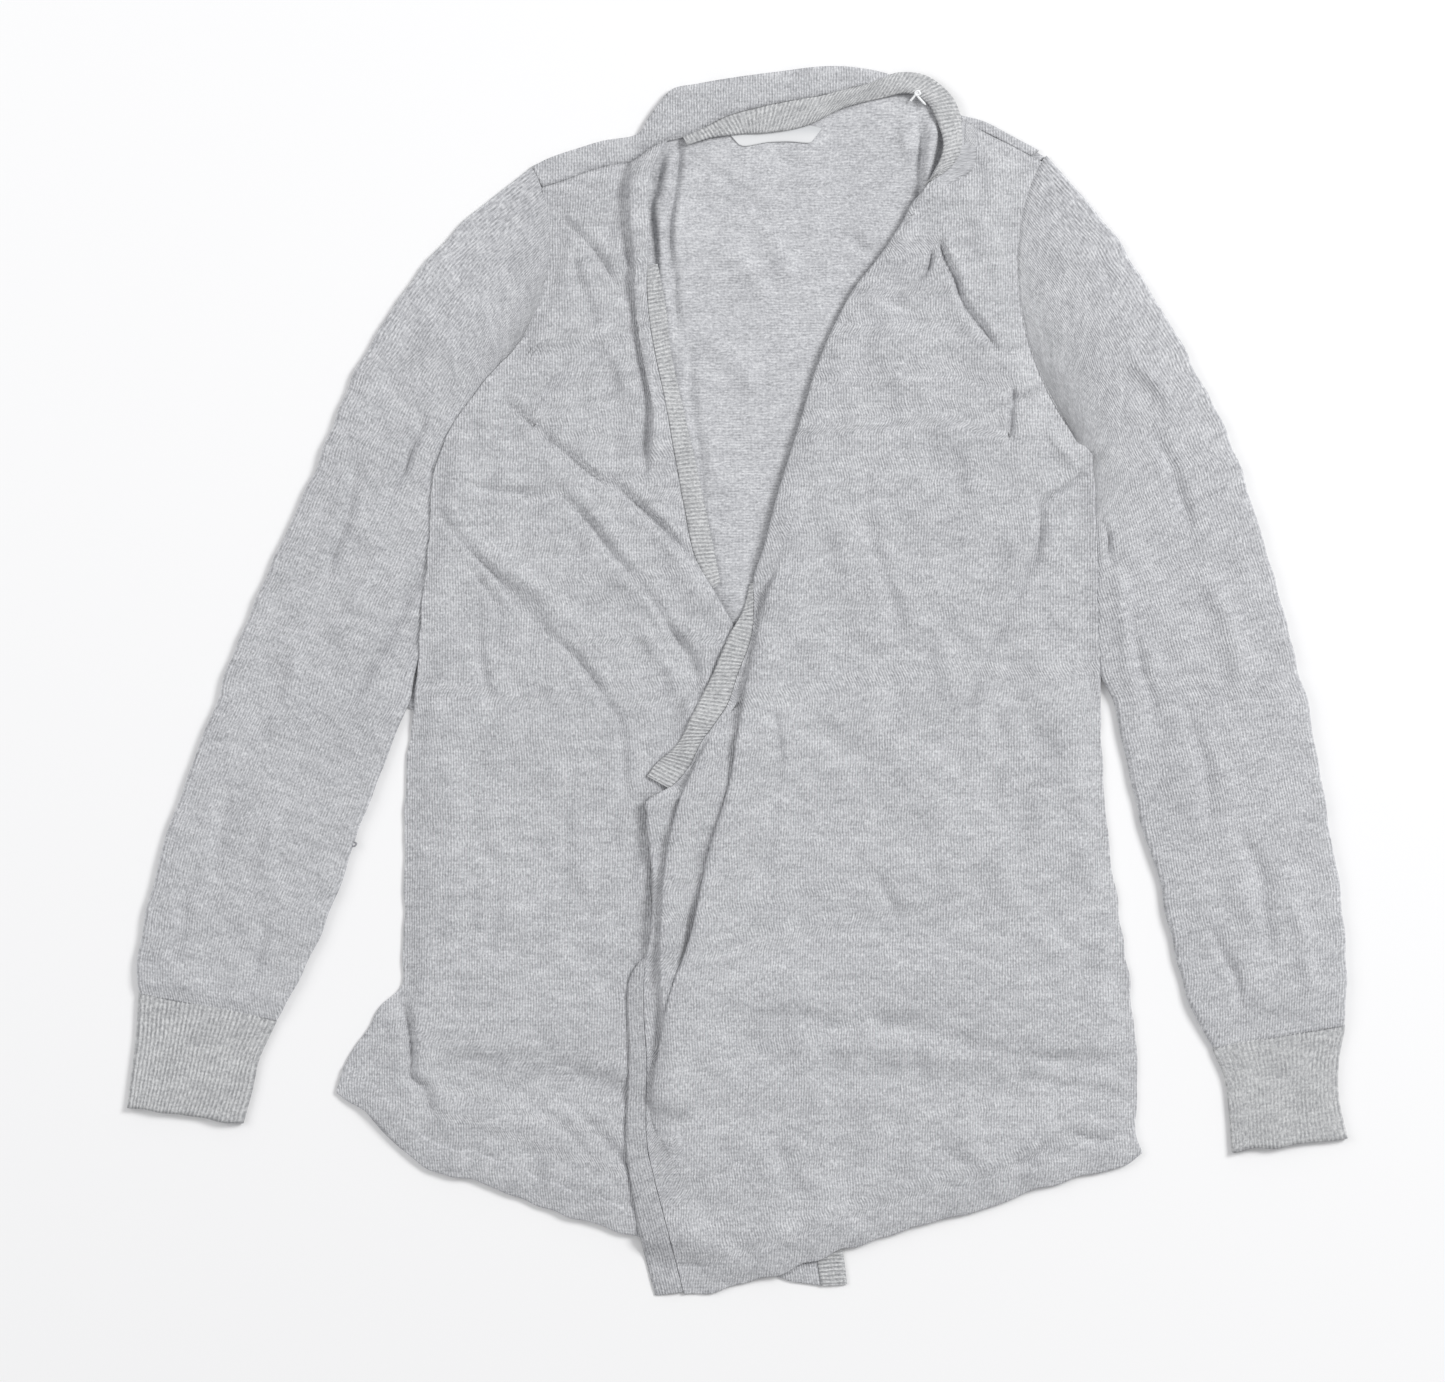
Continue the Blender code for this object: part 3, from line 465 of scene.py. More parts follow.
def back_cloth():
    """The back: level on the table from the hem up, then a half round at the fold line, whose
    radius is half the height of the turned-over part, then straight on to the shoulder seams."""
    tops = sections(BACK_TOP, BACK_FINE["columns"])
    fold = np.stack([tops["fold_x"], tops["fold_y"]], 1)
    way = np.stack([tops["seam_x"], tops["seam_y"]], 1) - fold
    length = np.linalg.norm(way, axis=1, keepdims=True)
    way = way / length
    share = np.linspace(0, 1, BACK_FINE["columns"])
    v = np.linspace(0, 1, int(BACK_LONG / BACK_FINE["row_mm"]))[:, None]
    low_x = HEM_ENDS[0] + (HEM_ENDS[1] - HEM_ENDS[0]) * share
    low_y = np.where(low_x < HEMS_MEET, curve(RIGHT_HEM, "x", "y")(low_x),
                     curve(LEFT_HEM, "x", "y")(low_x))
    low_y = np.maximum(low_y, BACK_LOWEST) + 1.5
    y = low_y + (fold[:, 1] - low_y) * v
    left, right = back_side("right", y[:, :1]), back_side("left", y[:, -1:])
    top_share = (fold[:, 0] - fold[0, 0]) / (fold[-1, 0] - fold[0, 0])
    x = left + (right - left) * between(share, top_share, v ** 2)
    radius = (tops["seam_z"][:, None] - GROUND) / 2
    inner = ease((x - left) / 30) * ease((right - x) / 30) * ease((fold[:, 1] - y) / 20)
    slack = 0.7 + 1.4 * ease((y - 30) / 50)
    raised = np.maximum(creased(BACK_CREASES, x, y) * 1.3 + slack + 0.4 * ripple(x, y, 45, 5), 0) * inner
    level = np.stack([x, y, GROUND + raised], axis=2)
    level[-1, :, :2] = fold + way * radius
    bend = np.linspace(0, np.pi, BACK_FINE["turn"] + 2)[1:-1]
    turned = [np.column_stack([fold + way * radius * (1 - np.sin(b)),
                               GROUND + radius * (1 - np.cos(b))]) for b in bend]
    end = np.maximum(length, radius + 1.2)
    last = [np.column_stack([fold + way * (radius + (end - radius) * s), tops["seam_z"]])
            for s in np.linspace(0, 1, BACK_FINE["end"])]
    points = np.concatenate([level, np.stack(turned + last)])
    thickness = np.full(len(points), JERSEY)
    thickness[-BACK_FINE["end"]:] *= np.linspace(1, SEAM_TAPER, BACK_FINE["end"])
    return points, thickness[:, None]


def flat_flow(points, from_right=False):
    """Place of each point in the flat cloth: across the wales, the length walked along its row
    from the side seam, which keeps its own x; along the wales, y."""
    steps = np.hypot(np.diff(points[..., 0], axis=1), np.diff(points[..., 2], axis=1))
    walked = np.concatenate([np.zeros((len(points), 1)), np.cumsum(steps, axis=1)], axis=1)
    if from_right:
        across = points[:, -1:, 0] - (walked[:, -1:] - walked)
    else:
        across = points[:, :1, 0] + walked
    return np.dstack([across, points[..., 1]])


# The last number of each knit is the weight of the painted shade in its sunken wales.
marl_jersey = knit("plain_knit_marl", "#98999c", "#bbbcbf", "#dbdcde", 1.8, 2.4, 0.14, 0.1)
marl_purl = knit("purl_side_marl", "#9b9c9f", "#bdbec1", "#dbdcde", 1.8, 2.4, 0.06, 0.0, purl=True)
marl_rib = knit("rib_knit_marl", "#929395", "#b5b6b7", "#d5d6d6", 2.7, 2.4, 0.1, 0.13)
# The rolled band's greys are darker than the other knits': painted shade, for its rolled slope that faces
# away from the light.
marl_rolled_painted_shade = knit("rolled_rib_marl_painted_shade", "#8f9093", "#b1b2b5", "#d1d2d4", 1.8, 2.4, 0.14, 0.1)

# The sleeves' folded edges, which the back's sides follow below the armpits.
SLEEVES = {
    "right": (
        ("outer_x", "outer_y", "inner_x", "inner_y", "bow"),
        (-139, 346, -156, 217, 20), (-193, 301, -163, 200, 14), (-236, 245, -171, 172, 7),
        (-265, 190, -180, 135, 2), (-289, 132, -191, 92, 0), (-320, 64, -211, 24, 0),
        (-342, 11, -231, -36, 0), (-371, -68, -259, -109, 0), (-390, -122, -279, -165, 0),
        (-404, -188, -300, -208, 0), (-403, -211, -311, -229, 0)),
    "left": (
        ("outer_x", "outer_y", "inner_x", "inner_y", "bow"),
        (208, 354, 240, 152, -33), (250, 305, 240, 140, -24), (284, 252, 239.5, 126, -14),
        (310, 207, 239.5, 112, -6), (334, 155, 240, 90, -2), (355, 92, 240.5, 56, 0),
        (368, 45, 243.5, 14, 0), (382, -10, 257, -28, 0), (394, -69, 272, -92, 0),
        (401, -115, 284, -133, 0), (408, -159, 294, -176, 0), (410, -198, 304, -214, 0),
        (409, -232.6, 321, -247.6, 0)),
}
back_points, back_wall = back_cloth()
back = cloth("back_cloth", back_points, back_wall, (marl_purl, marl_jersey), flat_flow(back_points))
lay(back, "back")
ground = Pile()
ground.press(back_points, back_wall)

# The sleeves
# Set-in sleeves of the same plain knit, linked into the armholes and closed by an underarm seam.
# Each lies as a flat tube, slightly slack between its two folded edges.
SLEEVE_FINE = {"rows": 170, "wall": 64, "turn": 9}
SLEEVE_HEIGHT = 4.6
SLEEVE_SLACK = 2.6
SLEEVE_CREASES = (
    CREASE,
    (-258, 144, -280, 61, 4, 7, -2), (-212, 178, -236, 122, 3, 6, -2.2),
    (-208, 82, -268, -23, 4, 7, -2.4), (-216, 28, -251, -45, 3, 6, -1.8),
    (-316, -161, -336, -215, 3, 7, -1.6), (-295, 28, -316, -40, 4, 9, 1.4),
    (-231, 237, -262, 176, 4, 9, 1.4), (-241, 82, -275, 28, 3, 8, 1.4),
    (-344, -67, -359, -148, 4, 10, -1.2), (-309, -80, -329, -148, 4, 9, 1.2),
    (-372, -134, -379, -188, 2, 8, -1), (-181, 291, -208, 244, 4, 8, -1.4),
    (245.5, 108, 253, 78, 1, 4, -2.2), (253, 82, 264, -13, 3, 8, 1.4), (278, 169, 305, 95, 5, 8, -1.6),
    (265, 223, 292, 176, 4, 8, 1.4), (312, 82, 339, -13, 6, 12, 1.2),
    (299, -13, 319, -101, 5, 10, -1.2), (339, -101, 359, -188, 4, 10, -1.2),
    (373, -148, 386, -215, 3, 8, 1), (258, 55, 278, -26, 4, 7, -1.4), (235, 304, 251, 257, 4, 8, -1.2),
    (319, -168, 339, -222, 3, 7, -1.4))


def flat_tube(table, count, wall, turn, height):
    """Rings of a tube laid flat: a level lower wall, a half round, the upper wall back over it and
    another half round. Returns the points, the share of the slack at each, and the place in the
    cloth: from the outer fold, which follows the wales, and along the tube."""
    rows = sections(table, count)
    outer = np.stack([rows["outer_x"], rows["outer_y"]], 1)
    inner = np.stack([rows["inner_x"], rows["inner_y"]], 1)
    width = np.linalg.norm(inner - outer, axis=1)[:, None]
    height = height + 0 * width
    radius = height / 2
    flat = np.linspace(0, 1, wall)[None, :]
    bend = np.linspace(0, np.pi, turn + 2)[None, 1:-1]
    low = radius + (width - 2 * radius) * flat
    across = np.concatenate([low, width - radius + radius * np.sin(bend), low[:, ::-1],
                             radius - radius * np.sin(bend)], axis=1)
    rise = np.concatenate([0 * low, radius * (1 - np.cos(bend)), 0 * low + height,
                           radius * (1 + np.cos(bend))], axis=1)
    t = across / width
    x = outer[:, :1] + (inner - outer)[:, :1] * t + rows["bow"][:, None] * (4 * t * (1 - t)) ** ARMHOLE_BOW
    y = outer[:, 1:] + (inner - outer)[:, 1:] * t
    share = ease((rise / height - 0.5) * 2) * np.clip(4 * t * (1 - t), 0, 1) ** 0.5
    along = walked((outer + inner) / 2)
    flow = np.dstack([across, np.broadcast_to(along[:, None], across.shape)])
    return np.stack([x, y, rise], axis=2), share, flow


sleeve_tubes = {}
for side, table_rows in SLEEVES.items():
    rows_down = np.linspace(0, 1, SLEEVE_FINE["rows"])[:, None]
    height = SEAM_Z - GROUND + (SLEEVE_HEIGHT - SEAM_Z + GROUND) * ease(rows_down / 0.25)
    points, share, flow = flat_tube(table_rows, SLEEVE_FINE["rows"], SLEEVE_FINE["wall"],
                                    SLEEVE_FINE["turn"], height)
    x, y = points[..., 0], points[..., 1]
    ends = ease(rows_down / 0.16) * ease((1 - rows_down) / 0.07)
    slack = SLEEVE_SLACK + 1.15 * creased(SLEEVE_CREASES, x, y) + 0.6 * ripple(x, y, 70, 11) \
        + 0.35 * ripple(x, y, 26, 12) + 0.3 * streaked(x, y, 0.5 if side == "left" else -0.5, 14)
    points[..., 2] += GROUND + share * np.maximum(slack, -height + 1.4) * ends
    points[..., 0] += 0.7 * ripple(y, 0 * y, 34, 13) * ease(rows_down / 0.1) * ease((1 - rows_down) / 0.1)
    wall = JERSEY * (1 - 0.75 * ease((rows_down - 0.98) / 0.02))
    sleeve = cloth("sleeve_%s_cloth" % side, points, wall, (marl_jersey,), flow, closed=True)
    lay(sleeve, "sleeve_" + side)
    sleeve_tubes[side] = points

# The cuffs
# One by one rib, knitted on as tubes: plain and purl wales stand up and sink in turn, which draws
# the cuff in and makes it thicker than the sleeve.
RIB = 1.6
RIB_PITCH = 2.7         # from one raised wale of the rib to the next
RIB_RELIEF = 0.38
CUFF_HEIGHT = 3.3
CUFF_FINE = {"rows": 34, "wall": 200, "turn": 9}
CUFFS = {
    "right": (
        ("outer_x", "outer_y", "inner_x", "inner_y", "bow"),
        (-402, -210, -312.2, -228, 0), (-403.4, -213, -312.4, -231, 0), (-405, -240, -323, -254, 0),
        (-408, -264, -328, -276, -1), (-411, -287, -334, -299, -3)),
    "left": (
        ("outer_x", "outer_y", "inner_x", "inner_y", "bow"),
        (408, -231.6, 322, -246.6, 0), (409, -234.6, 321.4, -249.6, 0), (405, -256, 329, -268, 0),
        (405, -281, 332, -292, -1), (411, -309, 334, -318, -3)),
}


def ribbed(walk, relief=RIB_RELIEF):
    """Thickness that a rib adds: a raised cosine of the walk across the ribs."""
    return relief * (np.cos(2 * np.pi * walk / RIB_PITCH) - 0.2)


for side, table_rows in CUFFS.items():
    points, share, flow = flat_tube(table_rows, CUFF_FINE["rows"], CUFF_FINE["wall"],
                                    CUFF_FINE["turn"], CUFF_HEIGHT)
    walk = flow[CUFF_FINE["rows"] // 2, :, 0][None, :]
    rows_down = np.linspace(0, 1, CUFF_FINE["rows"])[:, None]
    inside = fading(rows_down, 0.09)
    points[..., 2] = points[..., 2] * (1 - 0.1 * inside) + RIB / 2 + 0.75 * inside \
        + share * (0.7 + 0.3 * ripple(points[..., 0], points[..., 1], 40, 21)) * (1 - inside)
    flow[..., 0] = walk + RIB_PITCH / 4
    points[..., 1] += 0.5 * ripple(points[..., 0], 0 * points[..., 0], 30, 22) * ease(rows_down * 3 - 2)
    thickness = (RIB + ribbed(walk) * ease(rows_down / 0.12) * ease((1.02 - rows_down) / 0.05)) \
        * (1 - 0.6 * inside)
    cuff = cloth("cuff_%s_cloth" % side, points, thickness, (marl_rib,), flow, closed=True)
    lay(cuff, "cuff_" + side)

# The label
# A woven polyester tape with slanted ends, stitched to the inside of the neck. It is blank.
LABEL = (
    ("top_x", "top_y", "low_x", "low_y"),
    (-8, 371.5, 1, 361.5), (4, 373, 6, 360.5), (19, 374.5, 20, 363), (34, 375, 34, 363.5),
    (46, 375, 47, 362.5), (57, 372.5, 50, 363.5))
LABEL_THICK = 0.5
LABEL_WIDE = 13.0
LABEL_FINE = {"along": 90, "across": 14}


def woven_tape():
    """Satin-woven tape: smooth, white and slightly glossy, with fine cross threads 0.6 mm apart,
    drawn at 1 mm so that they show."""
    material, tree, shader = new_material("woven_label_tape")
    flow = node(tree, "UVMap", {"uv_map": "cloth"}).outputs["UV"]
    thread = node(tree, "TexWave", {"bands_direction": "Y"}, Vector=flow, Scale=50 / np.pi,
                  Distortion=0.6).outputs["Fac"]
    # The colour follows the cross threads and is darker between them: painted shade beside the threads' bump.
    ramp = node(tree, "ValToRGB", Fac=thread)
    ramp.color_ramp.elements[0].color = linear("#c6c8ca")
    ramp.color_ramp.elements[1].color = linear("#dcddde")
    bump = node(tree, "Bump", Height=thread, Distance=0.1 * METRE).outputs[0]
    plug(tree, shader, Base_Color=ramp.outputs["Color"], Normal=bump, Roughness=0.45)
    return material


def strip(table, count, across, pile, thickness, gap=0.3, along=None, fall=2.0):
    """A narrow piece laid on the pile, straight across each section from its first edge to its
    second. Where a panel is given, the first edge follows the panel's own points and height, and
    the strip comes down from there as the square of what is left of its width.
    Returns the points and the walk along the strip."""
    rows = sections(table, count)
    names = table[0]
    t = np.linspace(0, 1, across)[None, :]
    if along is not None:
        outwards = np.sign(rows[names[2]].mean() - rows[names[0]].mean())
        best = (along[..., 0] * outwards).argmax(axis=1)
        edge = along[np.arange(len(along)), best]
        level = along[:, 0 if outwards < 0 else -1, 1]
        rows[names[0]] = np.interp(rows[names[1]], level, edge[:, 0]) + outwards * gap
    x = between(rows[names[0]][:, None], rows[names[2]][:, None], t)
    y = between(rows[names[1]][:, None], rows[names[3]][:, None], t)
    z = pile.height(x, y) + thickness / 2 + gap
    if along is not None:
        seam_z = np.interp(rows[names[1]], level, edge[:, 2])[:, None]
        z = np.maximum(z, z + (seam_z - z[:, :1]) * (1 - t) ** fall)
    return np.stack([x, y, z], axis=2), walked(np.stack([x.mean(axis=1), y.mean(axis=1)], 1))


label_points, label_walk = strip(LABEL, LABEL_FINE["along"], LABEL_FINE["across"], ground, LABEL_THICK)
label_across = np.linspace(0, LABEL_WIDE, LABEL_FINE["across"])[None, :]
label_flow = np.dstack(np.broadcast_arrays(label_walk[:, None], label_across))
label = cloth("label_cloth", label_points, LABEL_THICK, (woven_tape(),), label_flow)
lay(label, "label")

# The right front
# Plain knit, outside up, cut with a slanting front edge and a curved hem. Beside its band the
# cloth laps over itself in a soft pleat down from the collar. The hem is turned up and stitched.
TURNED = 2.0            # thickness of the turned hem, two layers of plain knit
HEM_DEPTH = 19.0
LOFT = 3.8              # height that the cloth stands slack above what it lies on
LOFT_MOST = 6.0         # slack and its creases stand about so high at the most
TOP_MOST = 20.0         # a front stands about so high at the most
RIPPLES = ((75, 0.8), (27, 0.42), (12, 0.13))  # wavelength and height of its unevenness
FOLD_SWELL = 3.6        # height that cloth stands rounded beyond a fold
FOLD_SINK = 4.0         # depth of the cloth in front of it
FOLD_RADIUS = 1.0
PLEAT_DEPTH = 12.0
EDGE_RADIUS = 2.0
EDGE_LIFT = 1.2         # rise towards a rolled edge, as a share of the roll's height
ROLL_CLOTH = 8.0        # width of cloth in which an edge may roll
FRONT_FINE = {"rows": 235, "cell": 2.1, "fold": 22, "roll": 15, "turn": 7}
HEM_ROWS = np.r_[0, 0.6, 1.4, 3:15.5:6j, 17.2:20.8:8j]
HEM_CLOTH = 22.0        # height from the hem at which the even rows start
MEET_ROUNDS = 40        # halvings until a row meets a line
PLEAT_STEPS = 240
RIGHT_EDGE = (
    ("y", "x", "rolled"), (-409, 56, 0), (-283, 38, 0), (-148, 18, 0), (-13, 7, 0), (30, 1, 0),
    (46, -8, 4), (60, -16, 4), (82, -28, 0), (117, -36, 0), (149, -42, 0), (189, -49, 0),
    (217, -55, 0), (240, -59, 0), (262, -61, 0), (281, -61, 2), (304, -60, 5), (331, -61, 5),
    (343, -58, 5), (358, -51, 5), (366, -46, 5))
RIGHT_PLEAT = (
    ("y", "x", "state"), (-409, -60, 0), (0, -60, 0), (100, -62, 0), (140, -60, 0.1),
    (166, -58, 0.5), (193, -57, 0.66), (221, -61.5, 0.7), (247, -65.5, 0.72), (263, -68, 0.72),
    (290, -70, 0.76), (309, -72, 0.78), (340, -72, 0.78), (356, -70, 0.74), (366, -67, 0.7))
RIGHT_CREASES = (
    CREASE,
    (-160, 191, -66, 117, -2, 5, -3), (-73, 122, 0, 47, 3, 5, -3.6), (-103, 153, -4, 55, 2, 5, -2),
    (-207, 122, -137, 43, -2, 6, -2.6), (-137, 43, -81, -23, 3, 6, -2.8),
    (-81, -16, -75, -74, 1, 6, -1.6), (-186, 131, -120, 128, -3, 6, -2.2),
    (-123, 128, -66, 61, 4, 7, -2.2), (-69, 66, -25, -6, 6, 6, -2.8), (-25, -6, -52, -57, -4, 7, -1.8),
    (-150, 176, -66, 240, 4, 7, -1.8), (-120, 315, -74, 257, 2, 5, -1.8),
    (-201, 195, -160, 225, 3, 6, -2.4), (-191, 230, -120, 222, -3, 6, -2),
    (-174, 75, -167, -21, -3, 7, -1.4), (-209, 109, -160, 48, 2, 5, -1.6),
    (-133, 155, -66, 72, 2, 6, 2), (-181, 95, -93, 21, 3, 8, 1.8), (-100, 82, -32, 28, 3, 7, 2),
    (-133, -261, -66, -275, -2, 15, -1.6), (-205, -249, -137, -256, -3, 17, -1.4),
    (-120, -276, -64, -340, 2, 6, -1.6), (-147, -273, -93, -330, 2, 6, -1),
    (-226, -205, -219, -269, 1, 6, -5), (-219, -266, -204, -291, 1, 6, -3.6),
    (-215, -200, -209, -262, 1, 9, 1.6), (-222, -208, -60, -226, 2, 34, 2.6),
    (-215, -268, -60, -284, 2, 26, -2.6),
    (-93, 237, -66, 176, 3, 8, 1.4), (-110, 291, -93, 237, -3, 7, -1.2),
    (-197, -53, -191, -148, 3, 12, 1.2), (-127, -121, -93, -168, 3, 9, -0.9),
    (-160, -148, -100, -222, 5, 14, 1.2), (-66, 34, -32, -26, 6, 7, 1.8),
    (-100, 304, -66, 264, 2, 5, 1.5))
COVERED = (             # from here to the right the left front presses the right one flat
    ("y", "x"), (-414, -30), (-300, -50), (-150, -50), (-60, -28), (30, 16), (100, 60))


def at_most(height, most):
    """A height held softly below a limit: the excess, rounded off over one unit, is taken off."""
    return height - 0.5 * (height - most + np.sqrt((height - most) ** 2 + 1))


def pleat_shape(state, depth, count):
    """Section of a pleat, low side to high side: two equal turns with a straight between them.
    The turns grow to a half round as the state grows, then the straight grows to the depth.
    Returns x from the visible fold and z from the low side, one row for each state."""
    turn = np.pi * ease(state / 0.6)[:, None]
    arc = np.pi * FOLD_RADIUS
    length = 2 * arc + depth * ease((state - 0.6) / 0.4)[:, None]
    walk = np.linspace(0, 1, PLEAT_STEPS + 1)[None, :] * length
    angle = turn * np.clip(np.minimum(walk, length - walk) / arc, 0, 1)
    x = np.cumsum(np.cos(angle), axis=1) * length / PLEAT_STEPS
    z = np.cumsum(np.sin(angle), axis=1) * length / PLEAT_STEPS
    z = z - z[:, :1]
    fold = x[:, PLEAT_STEPS // 2:].min(axis=1, keepdims=True)
    picked = np.rint(np.linspace(0, PLEAT_STEPS, count)).astype(int)
    return (x - fold)[:, picked], z[:, picked]


def rolled_edge(amount, count):
    """Section of a rolled edge, from the cloth's end to where the roll's own cloth stops: it turns
    down round the roll's radius, and what is left runs back underneath. Returns x inwards from
    the outermost point and z below the top, one row for each amount."""
    cloth_line = np.linspace(0, ROLL_CLOTH, count)[None, :]
    under = np.maximum(amount[:, None] - cloth_line, 0)
    over = np.maximum(cloth_line - amount[:, None], 0)
    turn = np.minimum(under / EDGE_RADIUS, np.pi)
    most = np.minimum(amount / EDGE_RADIUS, np.pi / 2)[:, None]
    x = EDGE_RADIUS * (np.sin(most) - np.sin(turn)) + np.maximum(under - np.pi * EDGE_RADIUS, 0) + over
    return x, -EDGE_RADIUS * (1 - np.cos(turn))


def hem_layers(from_hem):
    """Thickness of a front: two layers in the turned hem and one above it."""
    return JERSEY + (TURNED - JERSEY) * fading(from_hem - HEM_DEPTH, 1.5)


def front_cloth(over, under, armpit, clear, hem, top, edges, side, pleats, creases, left_edge, seed):
    """Middle surface of a front, on rows from the hem to the top line and columns from its left to
    its right. Its height is that of the pile with sleeves below the armpit and without above it,
    plus the loft, the creases and ripples, which die out at the hem and the seams and where the
    other front presses on it. Each pleat raises all that lies past it, up to the greatest height.
    The free edge rolls under, and where the side is clear of the sleeve it turns down in a half
    round to the back. Returns the points, and their distance from the hem."""
    rows = FRONT_FINE["rows"]
    near = np.concatenate([HEM_ROWS, np.full(rows - len(HEM_ROWS), HEM_CLOTH)])[:, None]
    v = np.concatenate([np.zeros(len(HEM_ROWS)), np.linspace(0, 1, rows - len(HEM_ROWS))])[:, None]

    def row_y(x):
        return hem(x) + near + (top(x) - hem(x) - HEM_CLOTH) * v

    def meet(line, start):
        x = np.full((rows, 1), float(start))
        for _ in range(MEET_ROUNDS):
            x = 0.5 * x + 0.5 * line(row_y(x))
        return x

    outwards = -1 if left_edge else 1
    edge_x = meet(curve(edges, "y", "x"), 0)
    amount = np.maximum(curve(edges, "y", "rolled")(row_y(edge_x)[:, 0]), 0)
    side_x = meet(side, -200 if not left_edge else 240)
    roll_x, roll_z = rolled_edge(amount, FRONT_FINE["roll"])
    reach = roll_x[:, -1:]
    stops = [edge_x + reach] if left_edge else [side_x]
    shapes = []
    for table_rows in pleats:
        fold_x = meet(curve(table_rows, "y", "x"), 0)
        state = np.clip(curve(table_rows, "y", "state")(row_y(fold_x)[:, 0]), 0, 1)
        shape_x, shape_z = pleat_shape(state, PLEAT_DEPTH, FRONT_FINE["fold"])
        shapes.append((fold_x + shape_x, shape_z, fold_x))
        stops += [fold_x + shape_x[:, :1], fold_x + shape_x[:, -1:]]
    stops += [side_x] if left_edge else [edge_x - reach]
    columns_x, columns_z = [], []
    level = np.zeros((rows, 1))
    for i in range(len(stops) // 2):
        start, end = stops[2 * i], stops[2 * i + 1]
        count = max(5, int(np.abs(end - start).mean() / FRONT_FINE["cell"]))
        share = np.linspace(0, 1, count)[None, :][:, (1 if i else 0):(-1 if i < len(shapes) else None)]
        columns_x.append(start + (end - start) * share)
        columns_z.append(level + 0 * columns_x[-1])
        if i < len(shapes):
            columns_x.append(shapes[i][0])
            columns_z.append(level + shapes[i][1])
            level = level + shapes[i][1][:, -1:]
    x, z = np.concatenate(columns_x, axis=1), np.concatenate(columns_z, axis=1)
    for shape_x, shape_z, fold_x in shapes:
        z = z - shape_z[:, -1:] * ease((x - fold_x - 18) / 50)
    lift = -EDGE_LIFT * roll_z[:, :1]
    if left_edge:
        x = np.concatenate([edge_x + roll_x[:, :-1], x], axis=1)
        z = np.concatenate([z[:, :1] + roll_z[:, :-1], z], axis=1)
    else:
        x = np.concatenate([x, (edge_x - roll_x[:, :-1])[:, ::-1]], axis=1)
        z = np.concatenate([z, z[:, -1:] + roll_z[:, -2::-1]], axis=1)
    z = z + lift * fading(np.abs(x - edge_x) - 6, 22)
    y = row_y(x)
    from_hem, from_top, from_side = y - row_y(x)[0], row_y(x)[-1] - y, np.abs(x - side_x)
    high = ease((y - armpit) / 18)
    rest = between(over.height(x, y), under.height(x, y), high) + hem_layers(from_hem) / 2 + 0.3
    shoulder = (x < -38) | (x > 150)
    rest = between(rest, curve(BACK_TOP, "seam_x", "seam_z")(x), fading(from_top, 12) * shoulder)
    rest = between(rest, SEAM_Z, fading(from_side, 14) * high)
    inset = (0.25 + 0.75 * ease(from_hem / 26)) * ease(from_top / 16) * ease(from_side / 16)
    inset = inset * (0.3 + 0.7 * ease(np.abs(x - edge_x) / 16))
    loft = LOFT + creased(creases, x, y)
    for number, (wave, height) in enumerate(RIPPLES):
        loft = loft + height * ripple(x, y, wave, seed + number)
    loft = loft + 0.42 * streaked(x, y, 0.12 if left_edge else -0.06, seed + 3)
    for (shape_x, shape_z, fold_x), table_rows in zip(shapes, pleats):
        state = ease(curve(table_rows, "y", "state")(y) * 1.6)
        loft = loft + state * (FOLD_SWELL * bell(x - fold_x - 11, 12) - FOLD_SINK * bell(x - fold_x + 4, 4.5))
    loft = at_most(0.5 * (loft + np.sqrt(loft ** 2 + 0.5)), LOFT_MOST)
    if not left_edge:
        inset = inset * (1 - 0.8 * ease((x - curve(COVERED, "y", "x")(y)) / 20))
    seams = 0.5 * bell(from_side - 2.5, 1.6) * high + 0.5 * bell(from_top - 2.5, 1.6) * shoulder
    seams += 0.7 * bell(from_hem - 9, 6) - 0.45 * bell(from_hem - HEM_DEPTH, 1.3)
    points = np.stack([x, y, at_most(rest + loft * inset + z + seams, TOP_MOST)], axis=2)
    rim = points[:, -1:] if left_edge else points[:, :1]
    low = fading(rim[..., 1] - clear, 14)
    bend = np.linspace(0, 1, FRONT_FINE["turn"] + 1)[None, 1:] * np.pi * 0.9
    radius = np.maximum(rim[..., 2] - GROUND - 0.6, 0.3) / 2
    turned = np.stack([rim[..., 0] + -outwards * radius * np.sin(bend) * low,
                       rim[..., 1] + 0 * bend,
                       rim[..., 2] - radius * (1 - np.cos(bend)) * low], axis=2)
    turned[..., 0] -= outwards * (0.25 * bend * (1 - low))
    if left_edge:
        return np.concatenate([points, turned], axis=1), \
            np.concatenate([from_hem, np.repeat(from_hem[:, -1:], bend.size, 1)], axis=1)
    return np.concatenate([turned[:, ::-1], points], axis=1), \
        np.concatenate([np.repeat(from_hem[:, :1], bend.size, 1), from_hem], axis=1)


def hem_wall(from_hem):
    """Thickness of a front: two layers over the turned hem, thin at its folded end, and a groove
    where the stitch line pulls it in."""
    return hem_layers(from_hem) * (0.45 + 0.55 * ease(from_hem / 1.2)) \
        - 0.75 * bell(from_hem - HEM_DEPTH, 0.8)


def wavy(line, amount, seed):
    """A line with a slight waviness along it, as a knitted edge has."""
    def at(x):
        return line(x) + amount * ripple(x, 0 * x, 30, seed)
    return at


seam_line = sections(BACK_TOP, 90)
right_hem = wavy(curve(RIGHT_HEM, "x", "y"), 0.8, 31)
right_top = through(np.concatenate([[-142.0], seam_line["seam_x"][:36]]),
                    np.concatenate([[321.6], seam_line["seam_y"][:36] - 0.4]))
right_over = Pile(ground)
right_over.press(sleeve_tubes["right"], JERSEY)


